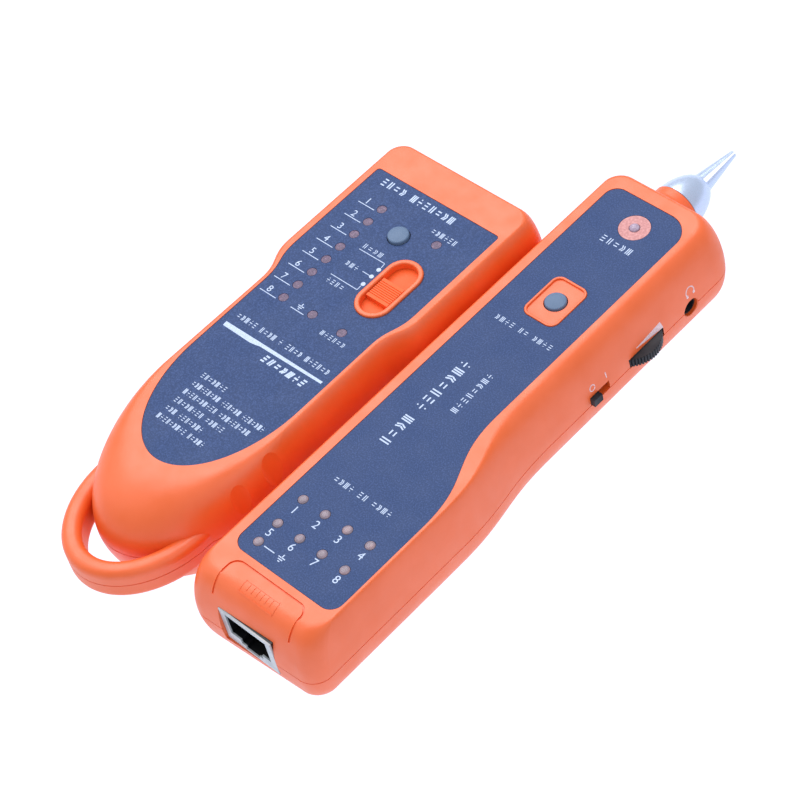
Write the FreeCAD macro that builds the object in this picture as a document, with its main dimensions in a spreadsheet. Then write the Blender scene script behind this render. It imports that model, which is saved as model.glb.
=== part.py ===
"""Tone probe kit: an emitter and a receiver lying side by side, built piece by piece.

Each tool has its own local frame: X across, Y along (towards the sockets of the emitter and the
probe of the receiver), Z up from the surface that it lies on.  The kit's origin is at the middle
of its underside.  All lengths are millimetres.
"""
import FreeCAD
import Part
import math
import os
import re
import Sketcher

Vector = FreeCAD.Vector
Rotation = FreeCAD.Rotation
doc = FreeCAD.newDocument("ToneProbeKit")

SIZES = {
    # where the two tools lie in the kit
    "emitter_x": -18.54, "emitter_y": -13.16, "receiver_x": 22.59, "receiver_y": -14.60,
    # mouldings
    "wall": 2.0, "fit_gap": 0.15, "label_thick": 0.4, "label_pocket": 0.5,
    "boss_radius": 3.1, "pilot_radius": 1.25, "pilot_depth": 8.0, "screw_radius": 1.2,
    "screw_length": 13.0, "screw_head_radius": 2.0, "screw_head_height": 1.5,
    "counterbore_radius": 2.3, "post_radius": 1.6,
    # emitter housing
    "e_height": 27.5, "e_parting": 14.5, "e_half_width": 22.9, "e_waist_half_width": 20.1,
    "e_shoulder_y": 14.0, "e_waist_y": 2.0, "e_nose_start": -33.5, "e_nose_tip": -64.6,
    "e_far_end": 52.4, "e_corner": 4.8, "e_waist_pinch": 0.2,
    # emitter carrying loop
    "loop_y": -51.4, "loop_a": 16.9, "loop_b": 22.2, "loop_band": 4.5, "loop_bottom": 9.9,
    "loop_height": 8.6, "loop_round": 1.9,
    # emitter face
    "e_label_corner": 0.9, "e_label_half": 18.53, "e_label_waist": 16.37, "e_label_far": 41.3,
    "e_label_arc": -20.0, "e_label_near": -47.1,
    "e_led_x": -9.13, "e_led_top": 32.41, "led_pitch": 4.52,
    "e_ground_x": -0.25, "e_verify_x": 8.79, "e_lower_led_y": 1.0, "e_status_y": 31.6,
    "e_button_x": -0.25, "e_button_y": 28.6,
    "slot_x": 8.68, "slot_y": 16.1, "slot_length": 15.7, "slot_width": 6.9, "slot_lip": 1.2,
    "slot_lip_rise": 0.45, "slot_lip_round": 0.4,
    "knob_y": 14.95, "knob_length": 5.8, "knob_width": 6.3, "knob_top": 27.5, "knob_travel": 3.8,
    "skirt_top": 26.05, "skirt_thick": 0.9, "skirt_width": 7.9, "skirt_near": 11.95,
    "skirt_far": 9.25, "rib_pitch": 0.55, "rib_depth": 0.22, "rib_half": 0.14,
    "lever_thick": 1.5, "lever_width": 2.4, "lever_bottom": 22.6, "slide_can_width": 4.4,
    "slide_can_near": 4.1, "slide_can_length": 13.2, "slide_can_height": 3.6,
    "slide_slit_width": 2.0, "slide_slit_near": 1.5, "slide_slit_floor": 1.6,
    # finger scallops in the emitter's flanks
    "scallop_width": 5.2, "scallop_tall": 15.0, "scallop_depth": 0.55, "scallop_z": 22.5,
    "scallop_far_y": -31.0, "scallop_near_y": -41.0, "scallop_lean": 14.0,
    "scallop_set_back": 1.3,
    # emitter inside
    "e_board_z": 19.0, "board_thick": 1.6, "e_board_half": 17.4, "e_board_near": -0.8,
    "e_board_far": 40.4, "board_hole_radius": 1.1, "e_board_hole_y": 20.0,
    "board_hole_inset": 3.0, "chip_width": 7.0, "chip_length": 5.0, "chip_height": 1.4,
    "chip_lift": 0.05, "e_chip_x": -5.0, "e_main_chip_y": 18.0, "e_tone_chip_y": 9.0,
    "e_rj45_x": -6.3, "e_rj11_x": 7.6, "e_socket_inset": 0.6,
    # receiver housing
    "r_height": 26.0, "r_parting": 13.0, "r_left": -17.5, "r_head_right": 16.0,
    "r_foot_right": 18.8, "r_near_end": -62.0, "r_near_skew": 0.9, "r_far_end": 76.5, "r_bend_far": 14.0,
    "r_bend_near": -18.0, "r_corner": 4.5, "r_shoulder": 7.2,
    # receiver face
    "r_label_left": -12.85, "r_label_head": 9.55, "r_label_foot": 16.45, "r_label_near": -50.6,
    "r_label_far": 70.1, "r_label_corner": 3.2, "r_label_shoulder": 6.0,
    "r_label_bend_near": -24.0, "r_label_bend_far": 6.0,
    "r_led_x": -8.57, "r_led_pitch": 6.49, "r_led_row_far": -33.85, "r_led_row_near": -41.34,
    "r_ground_y": -47.0,
    "r_button_x": -1.1, "r_button_y": 36.8, "pad_length": 12.6, "pad_width": 9.4,
    "pad_corner": 2.2, "pad_lip": 0.6, "pad_lip_rise": 0.15, "pad_floor": 25.7,
    "pad_lip_round": 0.2,
    "r_power_x": -0.9, "r_power_y": 62.8, "window_radius": 3.6, "window_hole_radius": 1.3,
    "power_lamp_tip_radius": 1.2,
    # grooved plate over the receiver's socket
    "plate_left": -9.7, "plate_right": 12.0, "plate_far": -52.4, "plate_bottom": 22.2,
    "plate_corner": 2.6, "groove_width": 0.5, "groove_depth": 0.35,
    # room around the sockets and the wheel in the mouldings
    "window_ease": 0.1, "wheel_ease": 0.3,
    # groove along the parting line of each tool
    "seam_width": 0.22, "seam_depth": 0.25,
    # receiver side controls
    "side_z": 13.0, "wheel_x": 11.45, "wheel_y": 45.1, "wheel_radius": 7.0, "wheel_z": 13.0,
    "wheel_thick": 2.15, "wheel_teeth": 60, "tooth_depth": 0.35, "tooth_half": 0.26,
    "wheel_pin_radius": 1.5, "wheel_pin_below": 0.4, "wheel_bore_radius": 1.6,
    "volume_can_inset": 3.4, "volume_can_radius": 5.1,
    "ear_y": 60.2, "ear_hole_radius": 2.2, "ear_rim": 0.3, "ear_bore_radius": 1.8,
    "ear_block_start": 2.0, "ear_block_length": 11.6, "ear_block_side": 6.2,
    "ear_block_below": 3.0, "ear_block_height": 6.9, "ear_barrel_start": 13.0,
    "ear_barrel_length": 2.0, "ear_barrel_ease": 0.15, "ear_bore_start": 4.0,
    "power_slot_near": 26.6, "power_slot_far": 32.8, "power_slot_top": 15.4,
    "power_knob_y": 28.0, "power_knob_length": 2.6, "power_knob_height": 2.0,
    "power_knob_out": 17.1, "power_knob_in": 12.4, "power_knob_lift": 0.2,
    "power_can_x": 7.6, "power_can_z": 11.4, "power_can_width": 6.0, "power_can_lap": 1.6,
    "power_slit_x": 12.2, "power_slit_depth": 2.0, "power_slit_ease": 0.1,
    # receiver inside
    "r_lower_board_z": 20.0, "r_upper_board_z": 17.0, "r_board_left": -14.6,
    "r_upper_board_right": 8.6, "r_upper_board_near": 24.6, "r_upper_board_far": 66.2,
    "r_lower_board_right": 15.6, "r_lower_board_near": -50.6, "r_lower_board_far": -28.0,
    "r_chip_x": -9.5, "r_main_chip_y": 47.0, "r_amplifier_y": 38.5, "amplifier_width": 4.0,
    "r_socket_inset": 0.4,
    # probe
    "probe_x": -5.6, "probe_z": 13.0, "collar_radius": 6.1, "collar_end": 81.1,
    "collar_flare": 2.2, "collar_root": 2.5, "collar_flare_start": 0.6,
    "collar_flare_end": 2.6, "cone_start": 81.35, "cone_radius": 5.9, "cone_length": 8.6,
    "cone_neck": 2.5, "fork_length": 20.05, "fork_tip": 0.8, "fork_gap": 1.3,
    "fork_turn": 34.6, "fork_tip_gap": 0.4, "stud_radius": 2.0, "stud_length": 10.4,
    "stud_hole_radius": 2.1, "nut_radius": 3.9, "nut_height": 2.0, "nut_gap": 0.6,
    # push buttons
    "button_radius": 2.5, "e_button_rise": 0.95, "r_button_rise": 0.5, "button_clear": 0.2,
    "button_shadow": 0.55, "cap_hollow": 0.6, "flange_radius": 3.8, "flange_thick": 0.9,
    "tact_side": 6.0, "tact_height": 2.9, "tact_plunger_radius": 1.6, "tact_total": 4.6,
    # lamps
    "led_radius": 1.45, "led_tip_radius": 1.15, "led_window_radius": 1.22,
    # modular sockets
    "rj45_width": 15.2, "rj45_mouth": 11.9, "rj11_width": 12.0, "rj11_mouth": 9.7,
    "socket_depth": 16.0, "socket_height": 10.6, "socket_roof": 1.0, "socket_gap": 0.05,
    "mouth_height": 6.7, "mouth_depth": 12.5, "latch_width": 6.4, "latch_height": 1.4,
    "key_width": 4.0, "key_height": 0.9, "contact_side": 0.35, "contact_pitch": 1.02,
    "contact_length": 7.0, "contact_tilt": 22.0, "contact_drop": 2.6, "contact_clear": 0.6,
    "contact_inset": 2.0,
    # nine volt block battery and its snap
    "cell_length": 46.4, "cell_width": 26.5, "cell_height": 17.5, "cell_round": 3.0,
    "stud_height": 2.1, "stud_small": 2.85, "stud_large": 3.95, "stud_spacing": 12.7,
    "snap_thick": 4.4, "snap_width": 25.0, "snap_height": 10.5, "lead_radius": 0.6,
    "lead_bend": 3.0, "lead_offset": 8.0, "r_red_lead_x": 4.0,
    "e_cell_z": 4.0, "e_cell_end": -3.1, "r_cell_z": 4.7, "r_cell_end": 19.4, "r_cell_x": -0.75,
    # battery covers: a plate with a tongue at its far end that one screw holds
    "cover_half": 14.1, "cover_depth": 9.0, "tongue_half": 4.0, "tongue_thick": 1.6,
    "tongue_length": 7.0, "tongue_lap": 0.4, "cover_screw_ahead": 4.2, "cover_post_radius": 2.6,
    "cover_post_height": 5.2, "cover_pilot_radius": 1.05, "cover_hole_radius": 1.2,
    "cover_bore_radius": 2.2, "cover_bore_depth": 0.9, "cover_screw_radius": 1.0,
    "cover_head_radius": 2.0, "cover_head_height": 0.7, "cover_screw_lift": 0.1,
    "cover_screw_length": 6.4, "e_cover_near": -50.6, "e_cover_far": 3.4, "r_cover_near": -29.4,
    "r_cover_far": 26.4,
    # loudspeaker
    "speaker_radius": 10.0, "speaker_height": 4.0, "speaker_y": 56.0, "speaker_z": 3.3,
    "speaker_rim": 1.4, "grille_radius": 3.4, "grille_hole_radius": 0.8,
}

# how far the walls draw in from the parting plane to the crown and to the base
E_CROWN = {"side": 3.0, "end": 2.5, "nose": 16.1}
E_BASE = {"side": 5.0, "end": 4.0, "nose": 8.5}
R_CROWN = {"left": 2.5, "head": 5.6, "foot": 1.8, "near": 6.5, "far": 3.2}
R_BASE = {"left": 4.5, "head": 12.5, "foot": 10.4, "near": 6.4, "far": 5.5}
LEVELS = (0.0, 0.42, 0.68, 0.85, 0.95, 1.0)
QUARTER = 0.5523
CORNER_SHRINK = 0.12
SHOULDER_SHRINK = 0.5
CORNER_TIGHTEN = 0.4

NODES = []
PLACES = {}


def make_sheet():
    """Write every driving dimension to the spreadsheet, one alias a row."""
    cells = doc.addObject("Spreadsheet::Sheet", "Sizes")
    for row, (alias, value) in enumerate(SIZES.items(), start=1):
        cells.set(f"A{row}", alias)
        cells.set(f"B{row}", str(value))
        cells.setAlias(f"B{row}", alias)
    doc.recompute()
    return cells


sheet = make_sheet()


def size(alias):
    """A driving dimension as a number."""
    return float(sheet.get(alias))


def number(text):
    """What a sum of aliases comes to, worked out in a spare cell of the sheet."""
    sheet.set("D1", f"={text}")
    sheet.recompute()
    return float(sheet.get("D1"))


def formula(text):
    """Turn a sum of aliases into an expression on the spreadsheet."""
    return re.sub(r"[a-z]\w*", lambda word: "Sizes." + word.group(0), str(text))


def bind(obj, **formulas):
    """Drive properties of an object from the spreadsheet."""
    for name, text in formulas.items():
        obj.setExpression(name.replace("__", "."), formula(text))


def locate(obj, at):
    """Place an object at three formulas."""
    bind(obj, Placement__Base__x=at[0], Placement__Base__y=at[1], Placement__Base__z=at[2])
    PLACES[obj.Name] = at


def box(name, low, length, width, height):
    """A block from its lowest corner, every size a formula."""
    block = doc.addObject("Part::Box", name)
    bind(block, Length=length, Width=width, Height=height)
    locate(block, low)
    return block


def cylinder(name, base, radius, height, axis="z"):
    """A cylinder from the middle of its base along an axis."""
    rod = doc.addObject("Part::Cylinder", name)
    turns = {"z": Rotation(), "x": Rotation(Vector(0, 1, 0), 90),
             "y": Rotation(Vector(1, 0, 0), -90)}
    rod.Placement = FreeCAD.Placement(Vector(), turns[axis])
    bind(rod, Radius=radius, Height=height)
    locate(rod, base)
    return rod


def cut(name, base, tool):
    """One object less another."""
    result = doc.addObject("Part::Cut", name)
    result.Base = base
    result.Tool = tool
    return result


def fuse(name, *parts):
    """Several objects as one."""
    result = doc.addObject("Part::MultiFuse", name)
    result.Shapes = list(parts)
    return result


def group(name, parts):
    """Several separate solids in one node."""
    result = doc.addObject("Part::Compound", name)
    result.Links = list(parts)
    return result


def solid(name, shape):
    """A shape with curved walls that no primitive gives."""
    feature = doc.addObject("Part::Feature", name)
    feature.Shape = shape
    return feature


def finish(obj, node, tool):
    """Name a sub-part and put it in the kit with the tool that it belongs to."""
    own = PLACES.get(obj.Name, (0, 0, 0))
    locate(obj, (f"{tool}_x + ({own[0]})", f"{tool}_y + ({own[1]})", own[2]))
    obj.Label = node
    NODES.append(obj)
    return obj


# --- outlines and moulded shells ---------------------------------------------------------------

def quarter(start, corner, end):
    """A quarter round from start to end, tangent to both sides of the corner."""
    curve = Part.BezierCurve()
    curve.setPoles([start, start + (corner - start) * QUARTER, end + (corner - end) * QUARTER, end])
    return curve.toShape()


def swerve(start, end):
    """A gentle S between two runs along Y."""
    lead = Vector(0, (end.y - start.y) / 2, 0)
    curve = Part.BezierCurve()
    curve.setPoles([start, start + lead, end - lead, end])
    return curve.toShape()


def emitter_outline(z, half, waist, hip, tip, arc, far, corner):
    """Plan of the emitter at one height: square far end, waist, hip, round nose."""
    shoulder, narrow = size("e_shoulder_y"), size("e_waist_y")
    points = [Vector(0, tip, z), Vector(hip, arc, z), Vector(waist, narrow, z),
              Vector(half, shoulder, z), Vector(half, far - corner, z),
              Vector(half - corner, far, z)]
    mirror = [Vector(-point.x, point.y, z) for point in reversed(points[1:])]
    right = [quarter(points[0], Vector(hip, tip, z), points[1]),
             Part.makeLine(points[1], points[2]),
             swerve(points[2], points[3]),
             Part.makeLine(points[3], points[4]),
             quarter(points[4], Vector(half, far, z), points[5]),
             Part.makeLine(points[5], mirror[0])]
    left = [quarter(mirror[0], Vector(-half, far, z), mirror[1]),
            Part.makeLine(mirror[1], mirror[2]),
            swerve(mirror[2], mirror[3]),
            Part.makeLine(mirror[3], mirror[4]),
            quarter(mirror[4], Vector(-hip, tip, z), points[0])]
    return Part.Wire(right + left)


def receiver_outline(z, left, head, foot, near, far, corner, shoulder, bend_near, bend_far,
                     skew=0.0):
    """Plan of the receiver at one height: straight left side, right side bent to a wider foot.

    The near end can be out of square: its left corner out by skew, its right corner in.
    """
    slope = 2 * skew / (foot - left)
    near_left, near_right = near - skew, near + skew
    points = [Vector(left + corner, near_left + slope * corner, z),
              Vector(foot - corner, near_right - slope * corner, z),
              Vector(foot, near_right + corner, z), Vector(foot, bend_near, z),
              Vector(head, bend_far, z), Vector(head, far - shoulder, z),
              Vector(head - shoulder, far, z), Vector(left + corner, far, z),
              Vector(left, far - corner, z), Vector(left, near_left + corner, z)]
    return Part.Wire([
        Part.makeLine(points[0], points[1]),
        quarter(points[1], Vector(foot, near_right, z), points[2]),
        Part.makeLine(points[2], points[3]),
        swerve(points[3], points[4]),
        Part.makeLine(points[4], points[5]),
        quarter(points[5], Vector(head, far, z), points[6]),
        Part.makeLine(points[6], points[7]),
        quarter(points[7], Vector(left, far, z), points[8]),
        Part.makeLine(points[8], points[9]),
        quarter(points[9], Vector(left, near_left, z), points[0])])


def heights(height, parting, skin):
    """Heights of the sections, closer together near the crown and the base."""
    crown, base = height - parting - skin, parting - skin
    below = [parting - base * level for level in reversed(LEVELS)]
    above = [parting + crown * level for level in LEVELS[1:]]
    return below + above


def draw_in(z, height, parting, crown, base):
    """How far each wall has drawn in at a height: an elliptical fall from the parting plane."""
    rise, sides = (height - parting, crown) if z > parting else (parting, base)
    fall = 1 - math.sqrt(max(0.0, 1 - ((z - parting) / rise) ** 2))
    return {side: depth * fall for side, depth in sides.items()}


def emitter_body(skin):
    """The emitter's outer form, or its cavity where skin is the wall thickness."""
    wires = []
    for z in heights(size("e_height"), size("e_parting"), skin):
        inset = draw_in(z, size("e_height"), size("e_parting"), E_CROWN, E_BASE)
        hip = size("e_waist_half_width") - inset["side"] - skin
        wires.append(emitter_outline(
            z, size("e_half_width") - inset["side"] - skin, hip - size("e_waist_pinch"), hip,
            size("e_nose_tip") + inset["nose"] + skin,
            size("e_nose_start") + inset["nose"] * 0.55,
            size("e_far_end") - inset["end"] - skin,
            size("e_corner") - skin - inset["end"] * CORNER_TIGHTEN))
    return Part.makeLoft(wires, True, False)


def receiver_body(skin):
    """The receiver's outer form, or its cavity where skin is the wall thickness."""
    wires = []
    for z in heights(size("r_height"), size("r_parting"), skin):
        inset = draw_in(z, size("r_height"), size("r_parting"), R_CROWN, R_BASE)
        wires.append(receiver_outline(
            z, size("r_left") + inset["left"] + skin, size("r_head_right") - inset["head"] - skin,
            size("r_foot_right") - inset["foot"] - skin, size("r_near_end") + inset["near"] + skin,
            size("r_far_end") - inset["far"] - skin,
            size("r_corner") - skin - inset["left"] * CORNER_SHRINK,
            size("r_shoulder") - skin - inset["head"] * SHOULDER_SHRINK,
            size("r_bend_near"), size("r_bend_far"), size("r_near_skew")))
    return Part.makeLoft(wires, True, False)


def prism(wire, depth):
    """A flat outline given a thickness upwards."""
    return Part.Face(wire).extrude(Vector(0, 0, depth))


def block(x_low, x_high, y_low, y_high, z_low, z_high):
    """A plain block between two corners."""
    return Part.makeBox(x_high - x_low, y_high - y_low, z_high - z_low, Vector(x_low, y_low, z_low))


def rod(x, y, z, radius, height):
    """A plain upright cylinder."""
    return Part.makeCylinder(radius, height, Vector(x, y, z))


def rounded_block(x, y, z, width, length, height, corner):
    """An upright block with round corners, centred on x, y."""
    shape = block(x - width / 2, x + width / 2, y - length / 2, y + length / 2, z, z + height)
    upright = [edge for edge in shape.Edges if abs(edge.tangentAt(edge.FirstParameter).z) > 0.9]
    return shape.makeFillet(corner, upright)


def halves(shell, parting):
    """The two mouldings that meet at the parting plane."""
    reach = 200
    above = block(-reach, reach, -reach, reach, parting, reach)
    below = block(-reach, reach, -reach, reach, -reach, parting)
    return shell.common(above), shell.common(below)


EMITTER_SCREWS = ((-17.2, 44.0, 3.0), (17.2, 44.0, 3.0), (0.0, -56.3, 3.0))
RECEIVER_SCREWS = ((-11.6, -54.0, 5.0), (12.0, -54.0, 5.0), (-11.6, 69.6, 5.0), (8.6, 69.6, 5.0))


def bossed(top, bottom, outer, screws, parting, ceiling):
    """Add a screw boss to each half, and the holes for the screws."""
    radius, pilot, bore = size("boss_radius"), size("pilot_radius"), size("counterbore_radius")
    for x, y, seat in screws:
        top = top.fuse(rod(x, y, parting, radius, ceiling - parting).common(outer))
        bottom = bottom.fuse(rod(x, y, 0, radius, parting).common(outer))
        head = seat + size("screw_head_height")
        bottom = bottom.cut(rod(x, y, -1, bore, head + 1))
        bottom = bottom.cut(rod(x, y, 0, pilot, parting + 1))
        top = top.cut(rod(x, y, parting - 1, pilot, size("pilot_depth")))
    return top, bottom


def screws(name, places, tool):
    """The case screws of one tool, in one node."""
    parts = []
    for index, (x, y, seat) in enumerate(places):
        head = cylinder(f"{name}_head_{index}", (x, y, seat), "screw_head_radius",
                        "screw_head_height")
        shank = cylinder(f"{name}_shank_{index}", (x, y, f"{seat} + screw_head_height"),
                         "screw_radius", "screw_length")
        parts.append(fuse(f"{name}_{index}", head, shank))
    finish(group(name, parts), name, tool)


def loop_oval(inset):
    """The carrying loop's outline filled in, drawn in by an inset."""
    centre = Vector(0, size("loop_y"), size("loop_bottom"))
    long_end = centre + Vector(0, size("loop_b") - inset, 0)
    side_end = centre + Vector(size("loop_a") - inset, 0, 0)
    return prism(Part.Wire(Part.Ellipse(long_end, side_end, centre).toShape()),
                 size("loop_height"))


def loop_ring():
    """The carrying loop: an oval band with rounded edges."""
    ring = loop_oval(0).cut(loop_oval(size("loop_band")))
    rims = [edge for edge in ring.Edges
            if edge.BoundBox.ZLength < 0.01 and edge.BoundBox.YLength > 5]
    return ring.makeFillet(size("loop_round"), rims)


def scallops(outer):
    """Shallow finger hollows in the emitter's flanks, two a side, standing like slim eggs."""
    wide, tall, depth = size("scallop_width"), size("scallop_tall"), size("scallop_depth")
    stretch = FreeCAD.Matrix()
    stretch.scale(Vector(1, 1, tall / wide))
    egg = Part.makeSphere(wide).transformGeometry(stretch)
    z, hollows = size("scallop_z"), []
    for y in (size("scallop_far_y"), size("scallop_near_y")):
        chord = Part.makeLine(Vector(0, y, z), Vector(2 * size("e_half_width"), y, z))
        flank = outer.common(chord).BoundBox.XMax
        for side in (-1, 1):
            hollow = egg.copy()
            hollow.rotate(Vector(), Vector(0, 1, 0), -side * size("scallop_lean"))
            hollow.translate(Vector(side * (flank + wide - depth),
                                    y - size("scallop_set_back"), z))
            hollows.append(hollow)
    return hollows


def plate_groove():
    """The groove that outlines a round-cornered plate over the receiver's socket."""
    left, right, width = size("plate_left"), size("plate_right"), size("groove_width")
    near, far = size("r_near_end") - 1, size("plate_far")
    bottom, top = size("plate_bottom"), size("r_height") + 1

    def plate(inset):
        corner = size("plate_corner") - inset
        shape = block(left + inset, right - inset, near, far - inset, bottom, top)
        upright = [edge for edge in shape.Edges
                   if edge.BoundBox.ZLength > 1 and edge.BoundBox.YMin > far - inset - 0.1]
        return shape.makeFillet(corner, upright)
    skin = receiver_body(0).cut(receiver_body(size("groove_depth")))
    return plate(0).cut(plate(width)).common(skin)


def seam_groove(outer, inner, parting):
    """The fine groove where the two mouldings of a tool meet."""
    reach, half = 200, size("seam_width") / 2
    slab = block(-reach, reach, -reach, reach, parting - half, parting + half)
    return outer.cut(inner).common(slab)


def lip(shape, top, radius):
    """A raised lip with its upper edges rounded."""
    rims = [edge for edge in shape.Edges if edge.BoundBox.ZMin > top - 0.01]
    return shape.makeFillet(radius, rims)


def stadium(x, y, z, width, length, height):
    """An upright slot shape with round ends, along Y."""
    return rounded_block(x, y, z, width, length, height, width / 2 - 0.01)


# --- sketches --------------------------------------------------------------------------------------

def new_body(name):
    """A PartDesign body."""
    return doc.addObject("PartDesign::Body", name)


def sketch_in(body, name, role, lift=0):
    """A sketch on one of the body's own origin planes, lifted along the plane's normal."""
    plane = next(item for item in body.Origin.OriginFeatures if item.Role == role)
    sketch = body.newObject("Sketcher::SketchObject", name)
    sketch.AttachmentSupport = [(plane, "")]
    sketch.MapMode = "FlatFace"
    sketch.setExpression("AttachmentOffset.Base.z", formula(lift))
    return sketch


def draw_polygon(sketch, points):
    """A closed run of lines whose corners are tied to formulas."""
    corners = [Vector(number(x), number(y), 0) for x, y in points]
    first = sketch.GeometryCount
    count = len(corners)
    for index in range(count):
        sketch.addGeometry(Part.LineSegment(corners[index], corners[(index + 1) % count]))
    for index in range(count):
        after = first + (index + 1) % count
        sketch.addConstraint(Sketcher.Constraint("Coincident", first + index, 2, after, 1))
        for kind, text in (("DistanceX", points[index][0]), ("DistanceY", points[index][1])):
            datum = sketch.addConstraint(
                Sketcher.Constraint(kind, -1, 1, first + index, 1, number(text)))
            sketch.setExpression(f"Constraints[{datum}]", formula(text))


def draw_circle(sketch, x, y, radius):
    """A circle whose middle and radius are tied to formulas."""
    circle = sketch.addGeometry(
        Part.Circle(Vector(number(x), number(y), 0), Vector(0, 0, 1), number(radius)))
    rules = (("DistanceX", (-1, 1, circle, 3), x), ("DistanceY", (-1, 1, circle, 3), y),
             ("Radius", (circle,), radius))
    for kind, picks, text in rules:
        datum = sketch.addConstraint(Sketcher.Constraint(kind, *picks, number(text)))
        sketch.setExpression(f"Constraints[{datum}]", formula(text))


def rectangle(x_low, x_high, y_low, y_high):
    """The corners of a rectangle from four formulas."""
    return [(x_low, y_low), (x_high, y_low), (x_high, y_high), (x_low, y_high)]


def pad(body, sketch, length):
    """Raise a sketch."""
    feature = body.newObject("PartDesign::Pad", f"{sketch.Name}_pad")
    feature.Profile = sketch
    bind(feature, Length=length)
    return feature


def pocket(body, sketch, length=None):
    """Sink a sketch down to a depth, or both ways through the body, and prove that it cut."""
    doc.recompute()
    before = body.Shape.Volume
    feature = body.newObject("PartDesign::Pocket", f"{sketch.Name}_pocket")
    feature.Profile = sketch
    if length is None:
        feature.Type = 1
        feature.Midplane = True
    else:
        bind(feature, Length=length)
    doc.recompute()
    if body.Shape.Volume > before - 1e-4:
        raise RuntimeError(f"{feature.Name} cuts nothing")
    return feature


def revolve(body, sketch, axis):
    """Turn a sketch once round one of its own axes."""
    feature = body.newObject("PartDesign::Revolution", f"{sketch.Name}_turned")
    feature.Profile = sketch
    feature.ReferenceAxis = (sketch, [axis])
    feature.Angle = 360
    return feature


# --- pieces that both tools have -------------------------------------------------------------------

def lamps(node, tool, places, board_top, face):
    """Lamps standing on a board with their tips in the label's windows; returns their places."""
    made = []
    for index, (x, y) in enumerate(places):
        body = cylinder(f"{node}_body_{index}", (x, y, board_top), "led_radius",
                        f"{face} - label_pocket - 0.1 - ({board_top})")
        tip = cylinder(f"{node}_tip_{index}", (x, y, board_top), "led_tip_radius",
                       f"{face} - 0.15 - ({board_top})")
        made.append(fuse(f"{node}_{index}", body, tip))
    finish(group(node, made), node, tool)
    doc.recompute()
    return [(lamp.Shapes[0].Placement.Base.x, lamp.Shapes[0].Placement.Base.y) for lamp in made]


def push_button(tool, x, y, face, ceiling, board_top):
    """A button cap turned about its middle, with a flange under the housing, and its switch."""
    node, crest = f"{tool}_button_cap", f"{face} + {tool[0]}_button_rise"
    flange_top = f"{ceiling} - 0.2"
    body = new_body(node)
    sketch = sketch_in(body, f"{node}_profile", "XZ_Plane")
    bore = "tact_plunger_radius + 0.25"
    draw_polygon(sketch, [
        ("0", crest), ("0", f"{ceiling} + cap_hollow"), (bore, f"{ceiling} + cap_hollow"),
        (bore, f"{flange_top} - flange_thick"), ("flange_radius", f"{flange_top} - flange_thick"),
        ("flange_radius", flange_top), ("button_radius", flange_top),
        ("button_radius", f"{crest} - 0.4"), ("button_radius - 0.4", crest)])
    revolve(body, sketch, "V_Axis")
    PLACES[body.Name] = (x, y, 0)
    finish(body, node, tool)

    node = f"{tool}_button_switch"
    base = box(f"{node}_base", (f"{x} - tact_side / 2", f"{y} - tact_side / 2", board_top),
               "tact_side", "tact_side", "tact_height")
    plunger = cylinder(f"{node}_plunger", (x, y, board_top), "tact_plunger_radius", "tact_total")
    finish(fuse(node, base, plunger), node, tool)


def mouth(node, x, y, z, width, inward):
    """The stepped hollow of a modular socket, its roof at z, running inwards from y."""
    start = y if inward > 0 else f"{y} - mouth_depth"
    reach = "mouth_depth"
    main = box(f"{node}_main", (f"{x} - {width} / 2", start, f"{z} - mouth_height"), width, reach,
               "mouth_height")
    latch = box(f"{node}_latch", (f"{x} - latch_width / 2", start,
                                  f"{z} - mouth_height - latch_height"),
                "latch_width", reach, "latch_height + 0.1")
    key = box(f"{node}_key", (f"{x} - key_width / 2", start,
                              f"{z} - mouth_height - latch_height - key_height"),
              "key_width", reach, "key_height + 0.1")
    return fuse(f"{node}_hollow", main, latch, key)


def modular_socket(tool, kind, x, face, top, inward, contacts):
    """A modular socket hanging under a board, and its row of spring contacts."""
    node = f"{tool}_{kind}_socket"
    back = face if inward > 0 else f"{face} - socket_depth"
    shell = box(f"{node}_block", (f"{x} - {kind}_width / 2", back, f"{top} - socket_height"),
                f"{kind}_width", "socket_depth", "socket_height")
    hollow = mouth(node, x, face, f"{top} - socket_roof", f"{kind}_mouth", inward)
    finish(cut(node, shell, hollow), node, tool)

    wires = []
    node = f"{tool}_{kind}_contacts"
    for index in range(contacts):
        offset = index - (contacts - 1) / 2
        wire = doc.addObject("Part::Box", f"{node}_{index}")
        bind(wire, Length="contact_side", Width="contact_length", Height="contact_side")
        tilt = -size("contact_tilt") * inward
        wire.Placement = FreeCAD.Placement(Vector(), Rotation(Vector(1, 0, 0), tilt))
        high = f"{top} - socket_roof - contact_clear"
        start = (f"{face} + contact_inset" if inward > 0
                 else f"{face} - contact_inset - contact_length")
        low = high if inward > 0 else f"{high} - contact_drop"
        locate(wire, (f"{x} + {offset} * contact_pitch - contact_side / 2", start, low))
        wires.append(wire)
    finish(group(node, wires), node, tool)


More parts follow.
